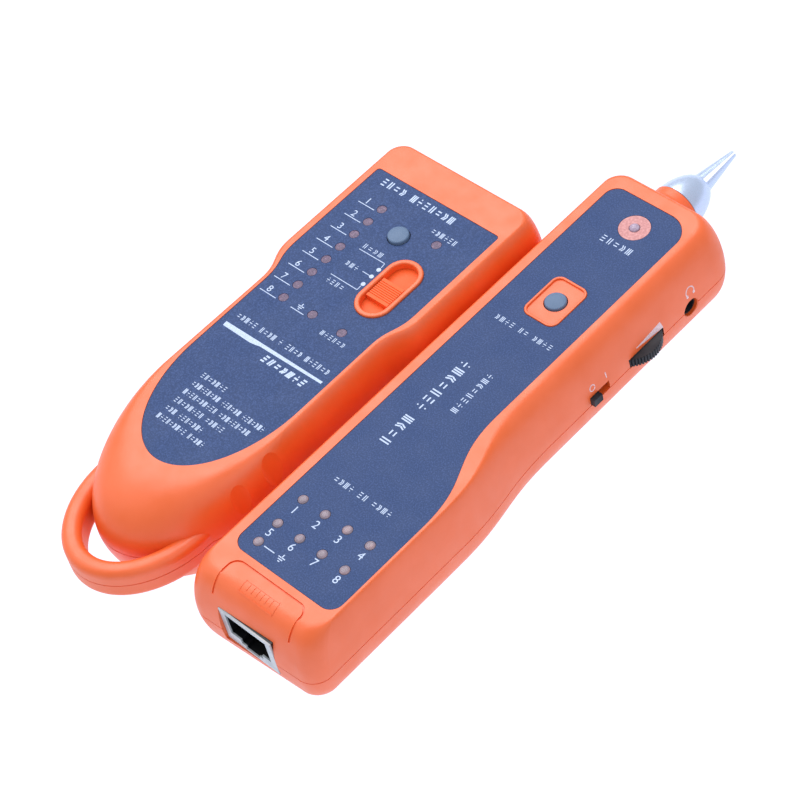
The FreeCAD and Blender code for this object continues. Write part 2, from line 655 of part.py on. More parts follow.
def battery(tool, x, end, z):
    """A nine volt block battery with its two studs, and the snap that clips on them."""
    node = f"{tool}_battery"
    case = box(f"{node}_case", (f"{x} - cell_width / 2", f"{end} - cell_length", z), "cell_width",
               "cell_length", "cell_height")
    doc.recompute()
    rounded = doc.addObject("Part::Fillet", f"{node}_rounded")
    rounded.Base = case
    radius = size("cell_round")
    rounded.Edges = [(index, radius, radius) for index, edge in enumerate(case.Shape.Edges, 1)
                     if edge.BoundBox.YLength > radius]
    middle = f"{z} + cell_height / 2"
    studs = [cylinder(f"{node}_stud_{side}", (f"{x} {side} stud_spacing / 2", f"{end} - 1", middle),
                      radius, "stud_height + 1", "y")
             for side, radius in (("-", "stud_small"), ("+", "stud_large"))]
    finish(fuse(node, rounded, *studs), node, tool)

    node = f"{tool}_battery_snap"
    plate = box(f"{node}_plate", (f"{x} - snap_width / 2", f"{end} + 0.1",
                                  f"{middle} - snap_height / 2"),
                "snap_width", "snap_thick", "snap_height")
    sockets = [cylinder(f"{node}_hole_{side}", (f"{x} {side} stud_spacing / 2", end, middle),
                        f"{radius} + 0.2", "stud_height + 0.2", "y")
               for side, radius in (("-", "stud_small"), ("+", "stud_large"))]
    finish(cut(node, plate, fuse(f"{node}_holes", *sockets)), node, tool)


def lead(node, tool, x, start_y, start_z, end_y, end_z):
    """A battery lead: a straight run from the snap, one bend, and a rise to the board."""
    radius, bend = size("lead_radius"), size("lead_bend")
    foot = Vector(x, start_y, start_z)
    corner_in = Vector(x, end_y - bend, start_z)
    corner_out = Vector(x, end_y, start_z + bend)
    middle = Vector(x, end_y - bend + bend * math.sin(math.pi / 4),
                    start_z + bend - bend * math.cos(math.pi / 4))
    head = Vector(x, end_y, end_z)
    path = Part.Wire([Part.makeLine(foot, corner_in), Part.Arc(corner_in, middle, corner_out)
                      .toShape(), Part.makeLine(corner_out, head)])
    ring = Part.Wire(Part.makeCircle(radius, foot, Vector(0, 1, 0)))
    tube = path.makePipeShell([ring], True, False)
    finish(solid(node, tube), node, tool)


# where a lead leaves its snap and reaches its board: y, z and y, z
EMITTER_LEAD = (1.6, 10.0, 14.0, 18.8)
RECEIVER_LEAD = (24.1, 11.0, 37.0, 16.8)


def standing_posts(top, places, board_top, ceiling, outer):
    """Posts from the roof of a moulding that hold a board down."""
    for x, y in places:
        post = rod(x, y, board_top, size("post_radius"), ceiling + 1 - board_top)
        top = top.fuse(post.common(outer))
    return top


def battery_cover(bottom, tool, x):
    """Part the battery cover from the bottom moulding, and bore both for the cover's screw."""
    near, far = size(f"{tool}_cover_near"), size(f"{tool}_cover_far")

    def zone(gap):
        half, tongue = size("cover_half") - gap, size("tongue_half") - gap
        plate = block(x - half, x + half, near + gap, far - gap, -1, size("cover_depth"))
        return plate.fuse(block(x - tongue, x + tongue, far - size("tongue_lap"),
                                far + size("tongue_length") - gap, -1, size("tongue_thick")))
    cover = bottom.common(zone(size("fit_gap")))
    bottom = bottom.cut(zone(0))
    y, thick = far + size("cover_screw_ahead"), size("tongue_thick")
    cover = cover.cut(rod(x, y, -1, size("cover_hole_radius"), 5))
    cover = cover.cut(rod(x, y, -1, size("cover_bore_radius"), 1 + size("cover_bore_depth")))
    bottom = bottom.fuse(rod(x, y, thick, size("cover_post_radius"), size("cover_post_height")))
    return bottom.cut(rod(x, y, 0, size("cover_pilot_radius"), 8)), cover


def cover_screw(tool, x):
    """The screw that holds a battery cover."""
    node, y = f"{tool}_cover_screw", f"{tool[0]}_cover_far + cover_screw_ahead"
    head = cylinder(f"{node}_head", (x, y, "cover_screw_lift"), "cover_head_radius",
                    "cover_head_height")
    shank = cylinder(f"{node}_shank", (x, y, "cover_screw_lift"), "cover_screw_radius",
                     "cover_screw_length")
    finish(fuse(node, head, shank), node, tool)


def chip(node, tool, x, y, board_z, width="chip_width"):
    """A chip lying on a board."""
    z = f"{board_z} + board_thick + chip_lift"
    finish(box(node, (x, y, z), width, "chip_length", "chip_height"), node, tool)


# --- emitter -----------------------------------------------------------------------------------------

def emitter_label_wire(z, spread):
    """Outline of the emitter's face label, spread outwards a little."""
    half, waist = size("e_label_half") + spread, size("e_label_waist") + spread
    return emitter_outline(z, half, waist, waist, size("e_label_near") - spread,
                           size("e_label_arc"), size("e_label_far") + spread,
                           size("e_label_corner"))


EMITTER_POSTS = ((-14.5, 37.0), (14.5, 37.0), (-14.5, 4.5), (15.4, 4.5))


def emitter_housing(lamp_places):
    """Top and bottom mouldings, battery cover and label of the emitter."""
    height, parting, wall = size("e_height"), size("e_parting"), size("wall")
    outer, cavity, seam_depth = emitter_body(0), emitter_body(wall), size("seam_depth")
    seam = seam_groove(outer, emitter_body(seam_depth), parting)
    top, bottom = halves(outer.cut(cavity).cut(seam), parting)
    ceiling = height - wall

    seam = seam_groove(loop_oval(0), loop_oval(seam_depth), parting)
    ring_top, ring_bottom = halves(loop_ring().cut(outer).cut(seam), parting)
    top, bottom = top.fuse(ring_top), bottom.fuse(ring_bottom)
    top, bottom = bossed(top, bottom, outer, EMITTER_SCREWS, parting, ceiling + 0.5)
    for hollow in scallops(outer):
        top = top.cut(hollow)
    board_top = size("e_board_z") + size("board_thick")
    top = standing_posts(top, EMITTER_POSTS, board_top, ceiling, outer)

    # the face: label pocket, raised lip round the slide slot, holes for lamps and button
    pocket_floor = height - size("label_pocket")
    top = top.cut(prism(emitter_label_wire(pocket_floor, 0.1), 5))
    x, y = size("slot_x"), size("slot_y")
    width, length = size("slot_width"), size("slot_length")
    band, lip_top = 2 * size("slot_lip"), height + size("slot_lip_rise")
    slot = stadium(x, y, ceiling - 1, width, length, 5)
    rim = stadium(x, y, ceiling + 0.2, width + band, length + band, lip_top - ceiling - 0.2)
    top = top.cut(slot).fuse(lip(rim.cut(slot), lip_top, size("slot_lip_round")))
    skirt_half = size("skirt_width") / 2 + 0.2
    low = size("knob_y") - size("skirt_near") - 0.3
    high = size("knob_y") + size("skirt_far") + size("knob_travel") + 0.3
    top = top.cut(block(x - skirt_half, x + skirt_half, low, high, ceiling - 1,
                        size("skirt_top") + 0.1))
    for lamp_x, lamp_y in lamp_places:
        top = top.cut(rod(lamp_x, lamp_y, ceiling - 1, size("led_radius") + 0.1, 5))
    button = (size("e_button_x"), size("e_button_y"))
    top = top.cut(rod(*button, ceiling - 1, size("button_radius") + size("button_shadow"), 5))

    # one window for both sockets in the far end, half in each moulding
    far, board_z, ease = size("e_far_end"), size("e_board_z"), size("window_ease")
    window = block(size("e_rj45_x") - size("rj45_width") / 2 - ease,
                   size("e_rj11_x") + size("rj11_width") / 2 + ease, far - 4, far + 1,
                   board_z - size("socket_gap") - size("socket_height") - ease, board_z + ease)
    top, bottom = top.cut(window), bottom.cut(window)

    bottom, cover = battery_cover(bottom, "e", 0)
    for node, shape in (("emitter_top_shell", top), ("emitter_bottom_shell", bottom),
                        ("emitter_battery_cover", cover)):
        finish(solid(f"{node}_shape", shape.removeSplitter()), node, "emitter")
    cover_screw("emitter", "0")

    # face label
    label = prism(emitter_label_wire(pocket_floor, 0), size("label_thick"))
    label = label.cut(stadium(x, y, ceiling, width + band + 0.2, length + band + 0.2, 5))
    for lamp_x, lamp_y in lamp_places:
        label = label.cut(rod(lamp_x, lamp_y, ceiling, size("led_window_radius"), 5))
    label = label.cut(rod(*button, ceiling, size("button_radius") + size("button_clear"), 5))
    finish(solid("emitter_face_label_shape", label), "emitter_face_label", "emitter")


def emitter_switch():
    """The three-position slide: ribbed knob on a wide skirt, its lever and its housing."""
    node = "emitter_switch_knob"
    body = new_body(node)
    skirt = sketch_in(body, f"{node}_skirt", "XY_Plane", "skirt_top - skirt_thick")
    draw_polygon(skirt, rectangle("-skirt_width / 2", "skirt_width / 2", "-skirt_near",
                                  "skirt_far"))
    pad(body, skirt, "skirt_thick")
    grip = sketch_in(body, f"{node}_grip", "XY_Plane", "skirt_top - 0.1")
    draw_polygon(grip, rectangle("-knob_width / 2", "knob_width / 2", "-knob_length / 2",
                                 "knob_length / 2"))
    pad(body, grip, "knob_top - skirt_top + 0.1")
    groove = sketch_in(body, f"{node}_groove", "YZ_Plane")
    first = "-3.5 * rib_pitch"
    draw_polygon(groove, [(f"{first} - rib_half", "knob_top + 0.1"),
                          (first, "knob_top - rib_depth"),
                          (f"{first} + rib_half", "knob_top + 0.1")])
    cutting = pocket(body, groove)
    row = body.newObject("PartDesign::LinearPattern", f"{node}_ribs")
    row.Originals = [cutting]
    row.Direction = (groove, ["H_Axis"])
    bind(row, Length="7 * rib_pitch")
    row.Occurrences = 8
    body.Tip = row
    PLACES[body.Name] = ("slot_x", "knob_y", 0)
    finish(body, node, "emitter")

    node = "emitter_switch_lever"
    finish(box(node, ("slot_x - lever_thick / 2", "knob_y - lever_width / 2", "lever_bottom"),
               "lever_thick", "lever_width", "skirt_top - skirt_thick - lever_bottom"), node,
           "emitter")
    node = "emitter_slide_switch"
    board_top = "e_board_z + board_thick"
    can = box(f"{node}_can", ("slot_x - slide_can_width / 2", "knob_y - slide_can_near",
                              board_top),
              "slide_can_width", "slide_can_length", "slide_can_height")
    slit = box(f"{node}_slit", ("slot_x - slide_slit_width / 2", "knob_y - slide_slit_near",
                                f"{board_top} + slide_slit_floor"),
               "slide_slit_width", "2 * slide_slit_near + knob_travel", "slide_can_height")
    finish(cut(node, can, slit), node, "emitter")


def emitter():
    """All the pieces of the emitter."""
    board_top = "e_board_z + board_thick"
    column = [("e_led_x", f"e_led_top - {index} * led_pitch") for index in range(8)]
    extra = [("e_ground_x", "e_lower_led_y"), ("e_verify_x", "e_lower_led_y"),
             ("slot_x - 0.2", "e_status_y")]
    places = lamps("emitter_lamps", "emitter", column + extra, board_top, "e_height")
    emitter_housing(places)
    emitter_switch()
    push_button("emitter", "e_button_x", "e_button_y", "e_height", "e_height - wall", board_top)
    hole = "e_board_half - board_hole_inset"
    board("emitter_circuit_board", "emitter", "-e_board_half", "e_board_half", "e_board_near",
          "e_board_far", "e_board_z",
          [(f"-({hole})", "e_board_hole_y"), (hole, "e_board_hole_y")])
    for kind, contacts in (("rj45", 8), ("rj11", 4)):
        modular_socket("emitter", kind, f"e_{kind}_x", "e_far_end - e_socket_inset",
                       "e_board_z - socket_gap", -1, contacts)
    battery("emitter", "0", "e_cell_end", "e_cell_z")
    lead("emitter_red_lead", "emitter", size("lead_offset"), *EMITTER_LEAD)
    lead("emitter_black_lead", "emitter", -size("lead_offset"), *EMITTER_LEAD)
    chip("emitter_main_chip", "emitter", "e_chip_x", "e_main_chip_y", "e_board_z")
    chip("emitter_tone_chip", "emitter", "e_chip_x", "e_tone_chip_y", "e_board_z")
    screws("emitter_case_screws", EMITTER_SCREWS, "emitter")


def board(node, tool, x_low, x_high, y_low, y_high, z, holes):
    """A circuit board with round holes."""
    body = new_body(node)
    outline = sketch_in(body, f"{node}_outline", "XY_Plane", z)
    draw_polygon(outline, rectangle(x_low, x_high, y_low, y_high))
    pad(body, outline, "board_thick")
    drill = sketch_in(body, f"{node}_drill", "XY_Plane", z)
    for x, y in holes:
        draw_circle(drill, x, y, "board_hole_radius")
    pocket(body, drill)
    finish(body, node, tool)


# --- receiver ----------------------------------------------------------------------------------------

def receiver_label_wire(z, spread):
    """Outline of the receiver's face label, spread outwards a little."""
    left, near = size("r_label_left") - spread, size("r_label_near") - spread
    head, foot = size("r_label_head") + spread, size("r_label_foot") + spread
    return receiver_outline(z, left, head, foot, near, size("r_label_far") + spread,
                            size("r_label_corner"), size("r_label_shoulder"),
                            size("r_label_bend_near"), size("r_label_bend_far"))


UPPER_POSTS = ((-12.2, 64.0), (-12.2, 27.5), (6.8, 28.5))
LOWER_POSTS = ((-12.2, -30.2), (13.4, -29.6))


def collar():
    """The round root of the probe, flared where it leaves the end of the housing."""
    x, z = size("probe_x"), size("probe_z")
    far, radius, end = size("r_far_end"), size("collar_radius"), size("collar_end")
    flare, root = size("collar_flare"), far - size("collar_root")
    outline = [Vector(x, root, z), Vector(x + radius + flare, root, z),
               Vector(x + radius + flare, far - size("collar_flare_start"), z),
               Vector(x + radius, far + size("collar_flare_end"), z),
               Vector(x + radius, end, z), Vector(x, end, z)]
    bend = Part.BezierCurve()
    bend.setPoles([outline[2], Vector(x + radius + 0.5, far + 0.2, z), outline[3]])
    wire = Part.Wire([Part.makeLine(outline[0], outline[1]), Part.makeLine(outline[1], outline[2]),
                      bend.toShape(), Part.makeLine(outline[3], outline[4]),
                      Part.makeLine(outline[4], outline[5]), Part.makeLine(outline[5], outline[0])])
    return Part.Face(wire).revolve(Vector(x, 0, z), Vector(0, 1, 0), 360)


def receiver_openings(shell):
    """Cut the side controls, the socket window and the probe's stud hole."""
    z = size("side_z")
    wall_x = size("r_head_right")
    ease = size("wheel_ease")
    slot = Part.makeCylinder(size("wheel_radius") + ease, size("wheel_thick") + 2 * ease,
                             Vector(size("wheel_x"), size("wheel_y"), size("wheel_z") - ease))
    shell = shell.cut(slot)
    shell = shell.cut(block(wall_x - 5, wall_x + 2, size("power_slot_near"),
                            size("power_slot_far"), z, size("power_slot_top")))
    radius, rim, along = size("ear_hole_radius"), size("ear_rim"), Vector(1, 0, 0)
    shell = shell.cut(Part.makeCylinder(radius, 8, Vector(wall_x - 5, size("ear_y"), z), along))
    shell = shell.cut(Part.makeCone(radius, radius + 2 * rim, 2 * rim,
                                    Vector(wall_x - rim, size("ear_y"), z), along))
    ease, near, board_z = size("window_ease"), size("r_near_end"), size("r_lower_board_z")
    half = size("rj45_width") / 2 + ease
    shell = shell.cut(block(-half, half, near - 1, near + 4,
                            board_z - size("socket_gap") - size("socket_height") - ease,
                            board_z + ease))
    root = Vector(size("probe_x"), size("r_far_end") - 4, size("probe_z"))
    return shell.cut(Part.makeCylinder(size("stud_hole_radius"), 14, root, Vector(0, 1, 0)))


def receiver_housing(lamp_places):
    """Top and bottom mouldings, battery cover, power window and label of the receiver."""
    height, parting, wall = size("r_height"), size("r_parting"), size("wall")
    outer, cavity = receiver_body(0), receiver_body(wall)
    seam = seam_groove(outer, receiver_body(size("seam_depth")), parting)
    shell = outer.cut(cavity).cut(seam).fuse(collar().cut(cavity))
    top, bottom = halves(shell, parting)
    ceiling = height - wall
    top, bottom = bossed(top, bottom, outer, RECEIVER_SCREWS, parting, ceiling + 0.5)
    upper_top = size("r_upper_board_z") + size("board_thick")
    lower_top = size("r_lower_board_z") + size("board_thick")
    top = standing_posts(top, UPPER_POSTS, upper_top, ceiling, outer)
    top = standing_posts(top, LOWER_POSTS, lower_top, ceiling, outer)
    top, bottom = receiver_openings(top).cut(plate_groove()), receiver_openings(bottom)

    # the face: label pocket, lipped pad round the button, holes for lamps and power window
    pocket_floor = height - size("label_pocket")
    top = top.cut(prism(receiver_label_wire(pocket_floor, 0.1), 5))
    x, y = size("r_button_x"), size("r_button_y")
    width, length, corner = size("pad_width"), size("pad_length"), size("pad_corner")
    band, lip_top = size("pad_lip"), height + size("pad_lip_rise")
    rim = rounded_block(x, y, ceiling + 0.2, width, length, lip_top - ceiling - 0.2, corner)
    hollow = rounded_block(x, y, size("pad_floor"), width - 2 * band, length - 2 * band, 5,
                           corner - band)
    top = top.cut(hollow).fuse(lip(rim.cut(hollow), lip_top, size("pad_lip_round")))
    top = top.cut(rod(x, y, ceiling - 1, size("button_radius") + size("button_clear"), 5))
    for lamp_x, lamp_y in lamp_places:
        top = top.cut(rod(lamp_x, lamp_y, ceiling - 1, size("led_radius") + 0.1, 5))
    power = (size("r_power_x"), size("r_power_y"))
    top = top.cut(rod(*power, ceiling - 1, size("window_radius") + 0.1, 5))

    # loudspeaker grille and battery cover in the back
    speaker_y, cell_x = size("speaker_y"), size("r_cell_x")
    circle, hole = size("grille_radius"), size("grille_hole_radius")
    for turn in range(6):
        angle = math.radians(60 * turn)
        bottom = bottom.cut(rod(cell_x + circle * math.cos(angle),
                                speaker_y + circle * math.sin(angle), -1, hole, 5))
    bottom = bottom.cut(rod(cell_x, speaker_y, -1, hole, 5))
    bottom, cover = battery_cover(bottom, "r", cell_x)
    for node, shape in (("receiver_top_shell", top), ("receiver_bottom_shell", bottom),
                        ("receiver_battery_cover", cover)):
        finish(solid(f"{node}_shape", shape.removeSplitter()), node, "receiver")
    cover_screw("receiver", "r_cell_x")

    label = prism(receiver_label_wire(pocket_floor, 0), size("label_thick"))
    label = label.cut(rounded_block(x, y, ceiling, width + 0.2, length + 0.2, 5, corner + 0.1))
    for lamp_x, lamp_y in lamp_places:
        label = label.cut(rod(lamp_x, lamp_y, ceiling, size("led_window_radius"), 5))
    label = label.cut(rod(*power, ceiling, size("window_radius") + 0.1, 5))
    finish(solid("receiver_face_label_shape", label), "receiver_face_label", "receiver")


def receiver_controls():
    """Volume wheel and its control, power switch, earphone socket, power lamp and window."""
    node = "receiver_volume_wheel"
    body = new_body(node)
    disc = sketch_in(body, f"{node}_disc", "XY_Plane")
    draw_circle(disc, 0, 0, "wheel_radius")
    draw_circle(disc, 0, 0, "wheel_bore_radius")
    pad(body, disc, "wheel_thick")
    tooth = sketch_in(body, f"{node}_tooth", "XY_Plane")
    draw_polygon(tooth, [("wheel_radius + 0.1", "-tooth_half"),
                         ("wheel_radius + 0.1", "tooth_half"),
                         ("wheel_radius - tooth_depth", 0)])
    cutting = pocket(body, tooth)
    ring = body.newObject("PartDesign::PolarPattern", f"{node}_teeth")
    ring.Originals = [cutting]
    ring.Axis = (tooth, ["N_Axis"])
    ring.Angle = 360
    ring.Occurrences = int(size("wheel_teeth"))
    body.Tip = ring
    PLACES[body.Name] = ("wheel_x", "wheel_y", "wheel_z")
    finish(body, node, "receiver")

    node = "receiver_volume_control"
    top = "wheel_z + wheel_thick + 0.2"
    can = cylinder(f"{node}_can", ("wheel_x - volume_can_inset", "wheel_y", top),
                   "volume_can_radius", f"r_upper_board_z - 0.05 - ({top})")
    pin = cylinder(f"{node}_pin", ("wheel_x", "wheel_y", "wheel_z - wheel_pin_below"),
                   "wheel_pin_radius", "r_upper_board_z - 0.05 - wheel_z + wheel_pin_below")
    finish(fuse(node, can, pin), node, "receiver")

    node = "receiver_power_knob"
    finish(box(node, ("power_knob_in", "power_knob_y - power_knob_length / 2",
                      "side_z + power_knob_lift"),
               "power_knob_out - power_knob_in", "power_knob_length", "power_knob_height"), node,
           "receiver")
    node = "receiver_power_switch"
    opening = "power_slot_far - power_slot_near"
    can = box(f"{node}_can", ("power_can_x", "power_slot_near - power_can_lap", "power_can_z"),
              "power_can_width", f"{opening} + 2 * power_can_lap",
              "r_upper_board_z - 0.05 - power_can_z")
    slit = box(f"{node}_slit", ("power_slit_x", "power_slot_near - power_slit_ease", "side_z"),
               "power_slit_depth", f"{opening} + 2 * power_slit_ease", "power_slot_top - side_z")
    finish(cut(node, can, slit), node, "receiver")

    node = "receiver_earphone_socket"
    block_part = box(f"{node}_block", ("ear_block_start", "ear_y - ear_block_side / 2",
                                       "side_z - ear_block_below"),
                     "ear_block_length", "ear_block_side", "ear_block_height")
    barrel = cylinder(f"{node}_barrel", ("ear_barrel_start", "ear_y", "side_z"),
                      "ear_hole_radius - ear_barrel_ease", "ear_barrel_length", "x")
    bore = cylinder(f"{node}_bore", ("ear_bore_start", "ear_y", "side_z"), "ear_bore_radius", 12,
                    "x")
    finish(cut(node, fuse(f"{node}_body", block_part, barrel), bore), node, "receiver")

    node = "receiver_power_window"
    disc = cylinder(f"{node}_disc", ("r_power_x", "r_power_y", "r_height - wall"),
                    "window_radius", "wall - 0.12")
    hole = cylinder(f"{node}_hole", ("r_power_x", "r_power_y", "r_height - wall - 1"),
                    "window_hole_radius", 4)
    finish(cut(node, disc, hole), node, "receiver")
    node = "receiver_power_lamp"
    board_top = "r_upper_board_z + board_thick"
    body_part = cylinder(f"{node}_body", ("r_power_x", "r_power_y", board_top), "led_radius",
                         f"r_height - wall - 0.1 - ({board_top})")
    tip = cylinder(f"{node}_tip", ("r_power_x", "r_power_y", board_top), "power_lamp_tip_radius",
                   f"r_height - 0.1 - ({board_top})")
    finish(fuse(node, body_part, tip), node, "receiver")


def probe():
    """The metal probe: a dome that narrows to a two-pronged fork, on a threaded stud."""
    length, neck, tip = size("fork_length"), size("cone_neck"), size("fork_tip")
    radius, dome = size("cone_radius"), size("cone_length")
    start = Vector(0, 0, 0)
    curve = Part.BezierCurve()
    curve.setPoles([Vector(0, radius, 0), Vector(dome * 0.42, radius, 0),
                    Vector(dome * 0.86, radius * 0.72, 0), Vector(dome, neck, 0)])
    wire = Part.Wire([Part.makeLine(start, Vector(0, radius, 0)), curve.toShape(),
                      Part.makeLine(Vector(dome, neck, 0), Vector(length, tip, 0)),
                      Part.makeLine(Vector(length, tip, 0), Vector(length, 0, 0)),
                      Part.makeLine(Vector(length, 0, 0), start)])
    turned = Part.Face(wire).revolve(start, Vector(1, 0, 0), 360)
    gap, tip_gap, slit_start = size("fork_gap"), size("fork_tip_gap"), dome - 0.6
    slit = Part.Face(Part.makePolygon([
        Vector(slit_start, -gap / 2, -8), Vector(length, -tip_gap / 2, -8),
        Vector(length, tip_gap / 2, -8), Vector(slit_start, gap / 2, -8),
        Vector(slit_start, -gap / 2, -8)])).extrude(Vector(0, 0, 16))
    reach = size("stud_length")
    stud = Part.makeCylinder(size("stud_radius"), reach, Vector(-reach, 0, 0), Vector(1, 0, 0))
    shape = turned.cut(slit).fuse(stud).removeSplitter()
    piece = solid("receiver_probe_shape", shape)
    piece.Placement = FreeCAD.Placement(Vector(), Rotation(Vector(0, 0, 1), 90).multiply(
        Rotation(Vector(1, 0, 0), size("fork_turn"))))
    PLACES[piece.Name] = ("probe_x", "cone_start", "probe_z")
    finish(piece, "receiver_probe", "receiver")

    node = "receiver_probe_nut"
    hexagon = doc.addObject("Part::Prism", f"{node}_hexagon")
    hexagon.Polygon = 6
    hexagon.Placement = FreeCAD.Placement(Vector(), Rotation(Vector(1, 0, 0), -90))
    bind(hexagon, Circumradius="nut_radius", Height="nut_height")
    locate(hexagon, ("probe_x", "r_far_end - wall - nut_height - nut_gap", "probe_z"))
    hole = cylinder(f"{node}_hole", ("probe_x", "r_far_end - wall - 3", "probe_z"),
                    "stud_radius + 0.05", 4, "y")
    finish(cut(node, hexagon, hole), node, "receiver")


def receiver():
    """All the pieces of the receiver."""
    upper, lower = "r_upper_board_z + board_thick", "r_lower_board_z + board_thick"
    rows = [(f"r_led_x + {index} * r_led_pitch", row)
            for row in ("r_led_row_far", "r_led_row_near") for index in range(4)]
    places = lamps("receiver_lamps", "receiver", rows + [("r_led_x", "r_ground_y")], lower,
                   "r_height")
    receiver_housing(places)
    receiver_controls()
    push_button("receiver", "r_button_x", "r_button_y", "r_height", "r_height - wall", upper)
    left = "r_board_left + board_hole_inset"
    board("receiver_main_board", "receiver", "r_board_left", "r_upper_board_right",
          "r_upper_board_near", "r_upper_board_far", "r_upper_board_z",
          [(left, "wheel_y"), (left, "wheel_y + 9")])
    right = "r_lower_board_right - board_hole_inset - 1"
    board("receiver_lamp_board", "receiver", "r_board_left", "r_lower_board_right",
          "r_lower_board_near", "r_lower_board_far", "r_lower_board_z",
          [(right, "r_lower_board_near + board_hole_inset + 1.6"),
           (right, "r_lower_board_far - board_hole_inset + 1")])
    modular_socket("receiver", "rj45", "0", "r_near_end + r_socket_inset",
                   "r_lower_board_z - socket_gap", 1, 8)
    battery("receiver", "r_cell_x", "r_cell_end", "r_cell_z")
    lead("receiver_red_lead", "receiver", size("r_red_lead_x"), *RECEIVER_LEAD)
    lead("receiver_black_lead", "receiver", -size("lead_offset"), *RECEIVER_LEAD)
    chip("receiver_main_chip", "receiver", "r_chip_x", "r_main_chip_y", "r_upper_board_z")
    chip("receiver_amplifier_chip", "receiver", "r_chip_x", "r_amplifier_y", "r_upper_board_z",
         "amplifier_width")
    rim = cylinder("receiver_speaker_rim", ("r_cell_x", "speaker_y", "speaker_z"),
                   "speaker_radius", "speaker_rim")
    magnet = cylinder("receiver_speaker_magnet", ("r_cell_x", "speaker_y", "speaker_z"),
                      "speaker_radius * 0.6", "speaker_height")
    finish(fuse("receiver_speaker", rim, magnet), "receiver_speaker", "receiver")
    probe()
    screws("receiver_case_screws", RECEIVER_SCREWS, "receiver")


def check_and_write():
    """Stop on any failed object, then write each sub-part to its own file."""
    doc.recompute()
    failed = [obj.Name for obj in doc.Objects if {"Invalid", "Error"} & set(obj.State)]
    if failed:
        raise RuntimeError(f"failed objects: {failed}")
    os.makedirs("parts", exist_ok=True)
    for obj in NODES:
        shape = obj.Shape
        if shape.isNull() or not shape.isValid():
            raise RuntimeError(f"{obj.Label} has no valid shape")
        shape.exportStep(f"parts/{obj.Label}.step")
        print(f"{obj.Label}: {len(shape.Solids)} solid, {shape.Volume:.1f} mm3, {shape.BoundBox}")


emitter()
receiver()
check_and_write()
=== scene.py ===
import math

import bmesh
import bpy
from mathutils import Matrix, Vector
from mathutils.bvhtree import BVHTree


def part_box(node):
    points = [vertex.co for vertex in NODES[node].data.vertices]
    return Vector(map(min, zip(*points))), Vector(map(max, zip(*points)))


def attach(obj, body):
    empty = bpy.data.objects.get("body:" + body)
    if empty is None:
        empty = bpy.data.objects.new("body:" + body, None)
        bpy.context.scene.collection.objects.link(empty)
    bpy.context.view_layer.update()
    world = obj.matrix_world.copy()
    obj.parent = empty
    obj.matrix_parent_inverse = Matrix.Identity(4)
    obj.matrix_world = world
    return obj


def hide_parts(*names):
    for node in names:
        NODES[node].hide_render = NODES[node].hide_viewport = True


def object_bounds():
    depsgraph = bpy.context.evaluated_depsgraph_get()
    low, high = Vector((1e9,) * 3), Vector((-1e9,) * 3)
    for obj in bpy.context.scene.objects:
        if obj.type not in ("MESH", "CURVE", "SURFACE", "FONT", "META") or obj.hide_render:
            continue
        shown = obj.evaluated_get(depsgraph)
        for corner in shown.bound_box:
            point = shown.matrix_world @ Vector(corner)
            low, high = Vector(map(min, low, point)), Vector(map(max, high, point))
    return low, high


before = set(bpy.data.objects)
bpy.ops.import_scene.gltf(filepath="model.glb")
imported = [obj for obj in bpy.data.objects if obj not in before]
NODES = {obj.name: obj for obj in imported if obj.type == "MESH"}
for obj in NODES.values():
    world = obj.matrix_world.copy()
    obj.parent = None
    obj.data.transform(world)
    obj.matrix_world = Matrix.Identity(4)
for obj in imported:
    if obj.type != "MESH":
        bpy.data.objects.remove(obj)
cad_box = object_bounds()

MM = 0.001
ACROSS, ALONG, UP = 0, 1, 2


# ---------------------------------------------------------------- materials

BLACK, WHITE = (0, 0, 0), (1, 1, 1)
SPECULAR = "Specular IOR Level"


def new_material(name, colour, roughness, metallic=0.0, ior=1.47, **sockets):
    """A material with one principled shader, and that shader."""
    made = bpy.data.materials.new(name)
    made.use_nodes = True
    shader = made.node_tree.nodes["Principled BSDF"]
    shader.inputs["Base Color"].default_value = (*colour, 1)
    shader.inputs["Roughness"].default_value = roughness
    shader.inputs["Metallic"].default_value = metallic
    shader.inputs["IOR"].default_value = ior
    for socket, value in sockets.items():
        shader.inputs[socket.replace("_", " ")].default_value = value
    return made, shader


def node(made, kind, **values):
    """A new node: each value goes to the property of that name, or else to the input."""
    created = made.node_tree.nodes.new(kind)
    for key, value in values.items():
        if hasattr(created, key):
            setattr(created, key, value)
        else:
            created.inputs[key.replace("_", " ")].default_value = value
    return created


def noise(made, size_mm, detail=3.0, stretch=(1, 1, 1)):
    """Noise in the object's own space with features of about the size given."""
    links = made.node_tree.links
    place = node(made, "ShaderNodeTexCoord")
    scaled = node(made, "ShaderNodeMapping", Scale=stretch)
    texture = node(made, "ShaderNodeTexNoise", Scale=1 / (size_mm * MM), Detail=detail)
    links.new(place.outputs["Object"], scaled.inputs["Vector"])
    links.new(scaled.outputs["Vector"], texture.inputs["Vector"])
    return texture.outputs["Fac"]


def ramp(made, source, stops):
    """A colour ramp over a noise value; each stop is (position, colour)."""
    created = node(made, "ShaderNodeValToRGB")
    elements = created.color_ramp.elements
    while len(elements) < len(stops):
        elements.new(0.5)
    for element, (position, colour) in zip(elements, stops):
        element.position = position
        element.color = (*colour, 1)
    made.node_tree.links.new(source, created.inputs["Fac"])
    return created.outputs["Color"]


def spread(made, source, low, high):
    """The middle of a noise value's range spread over a range of roughness."""
    created = node(made, "ShaderNodeMapRange", From_Min=0.3, From_Max=0.7, To_Min=low,
                   To_Max=high)
    made.node_tree.links.new(source, created.inputs["Value"])
    return created.outputs["Result"]


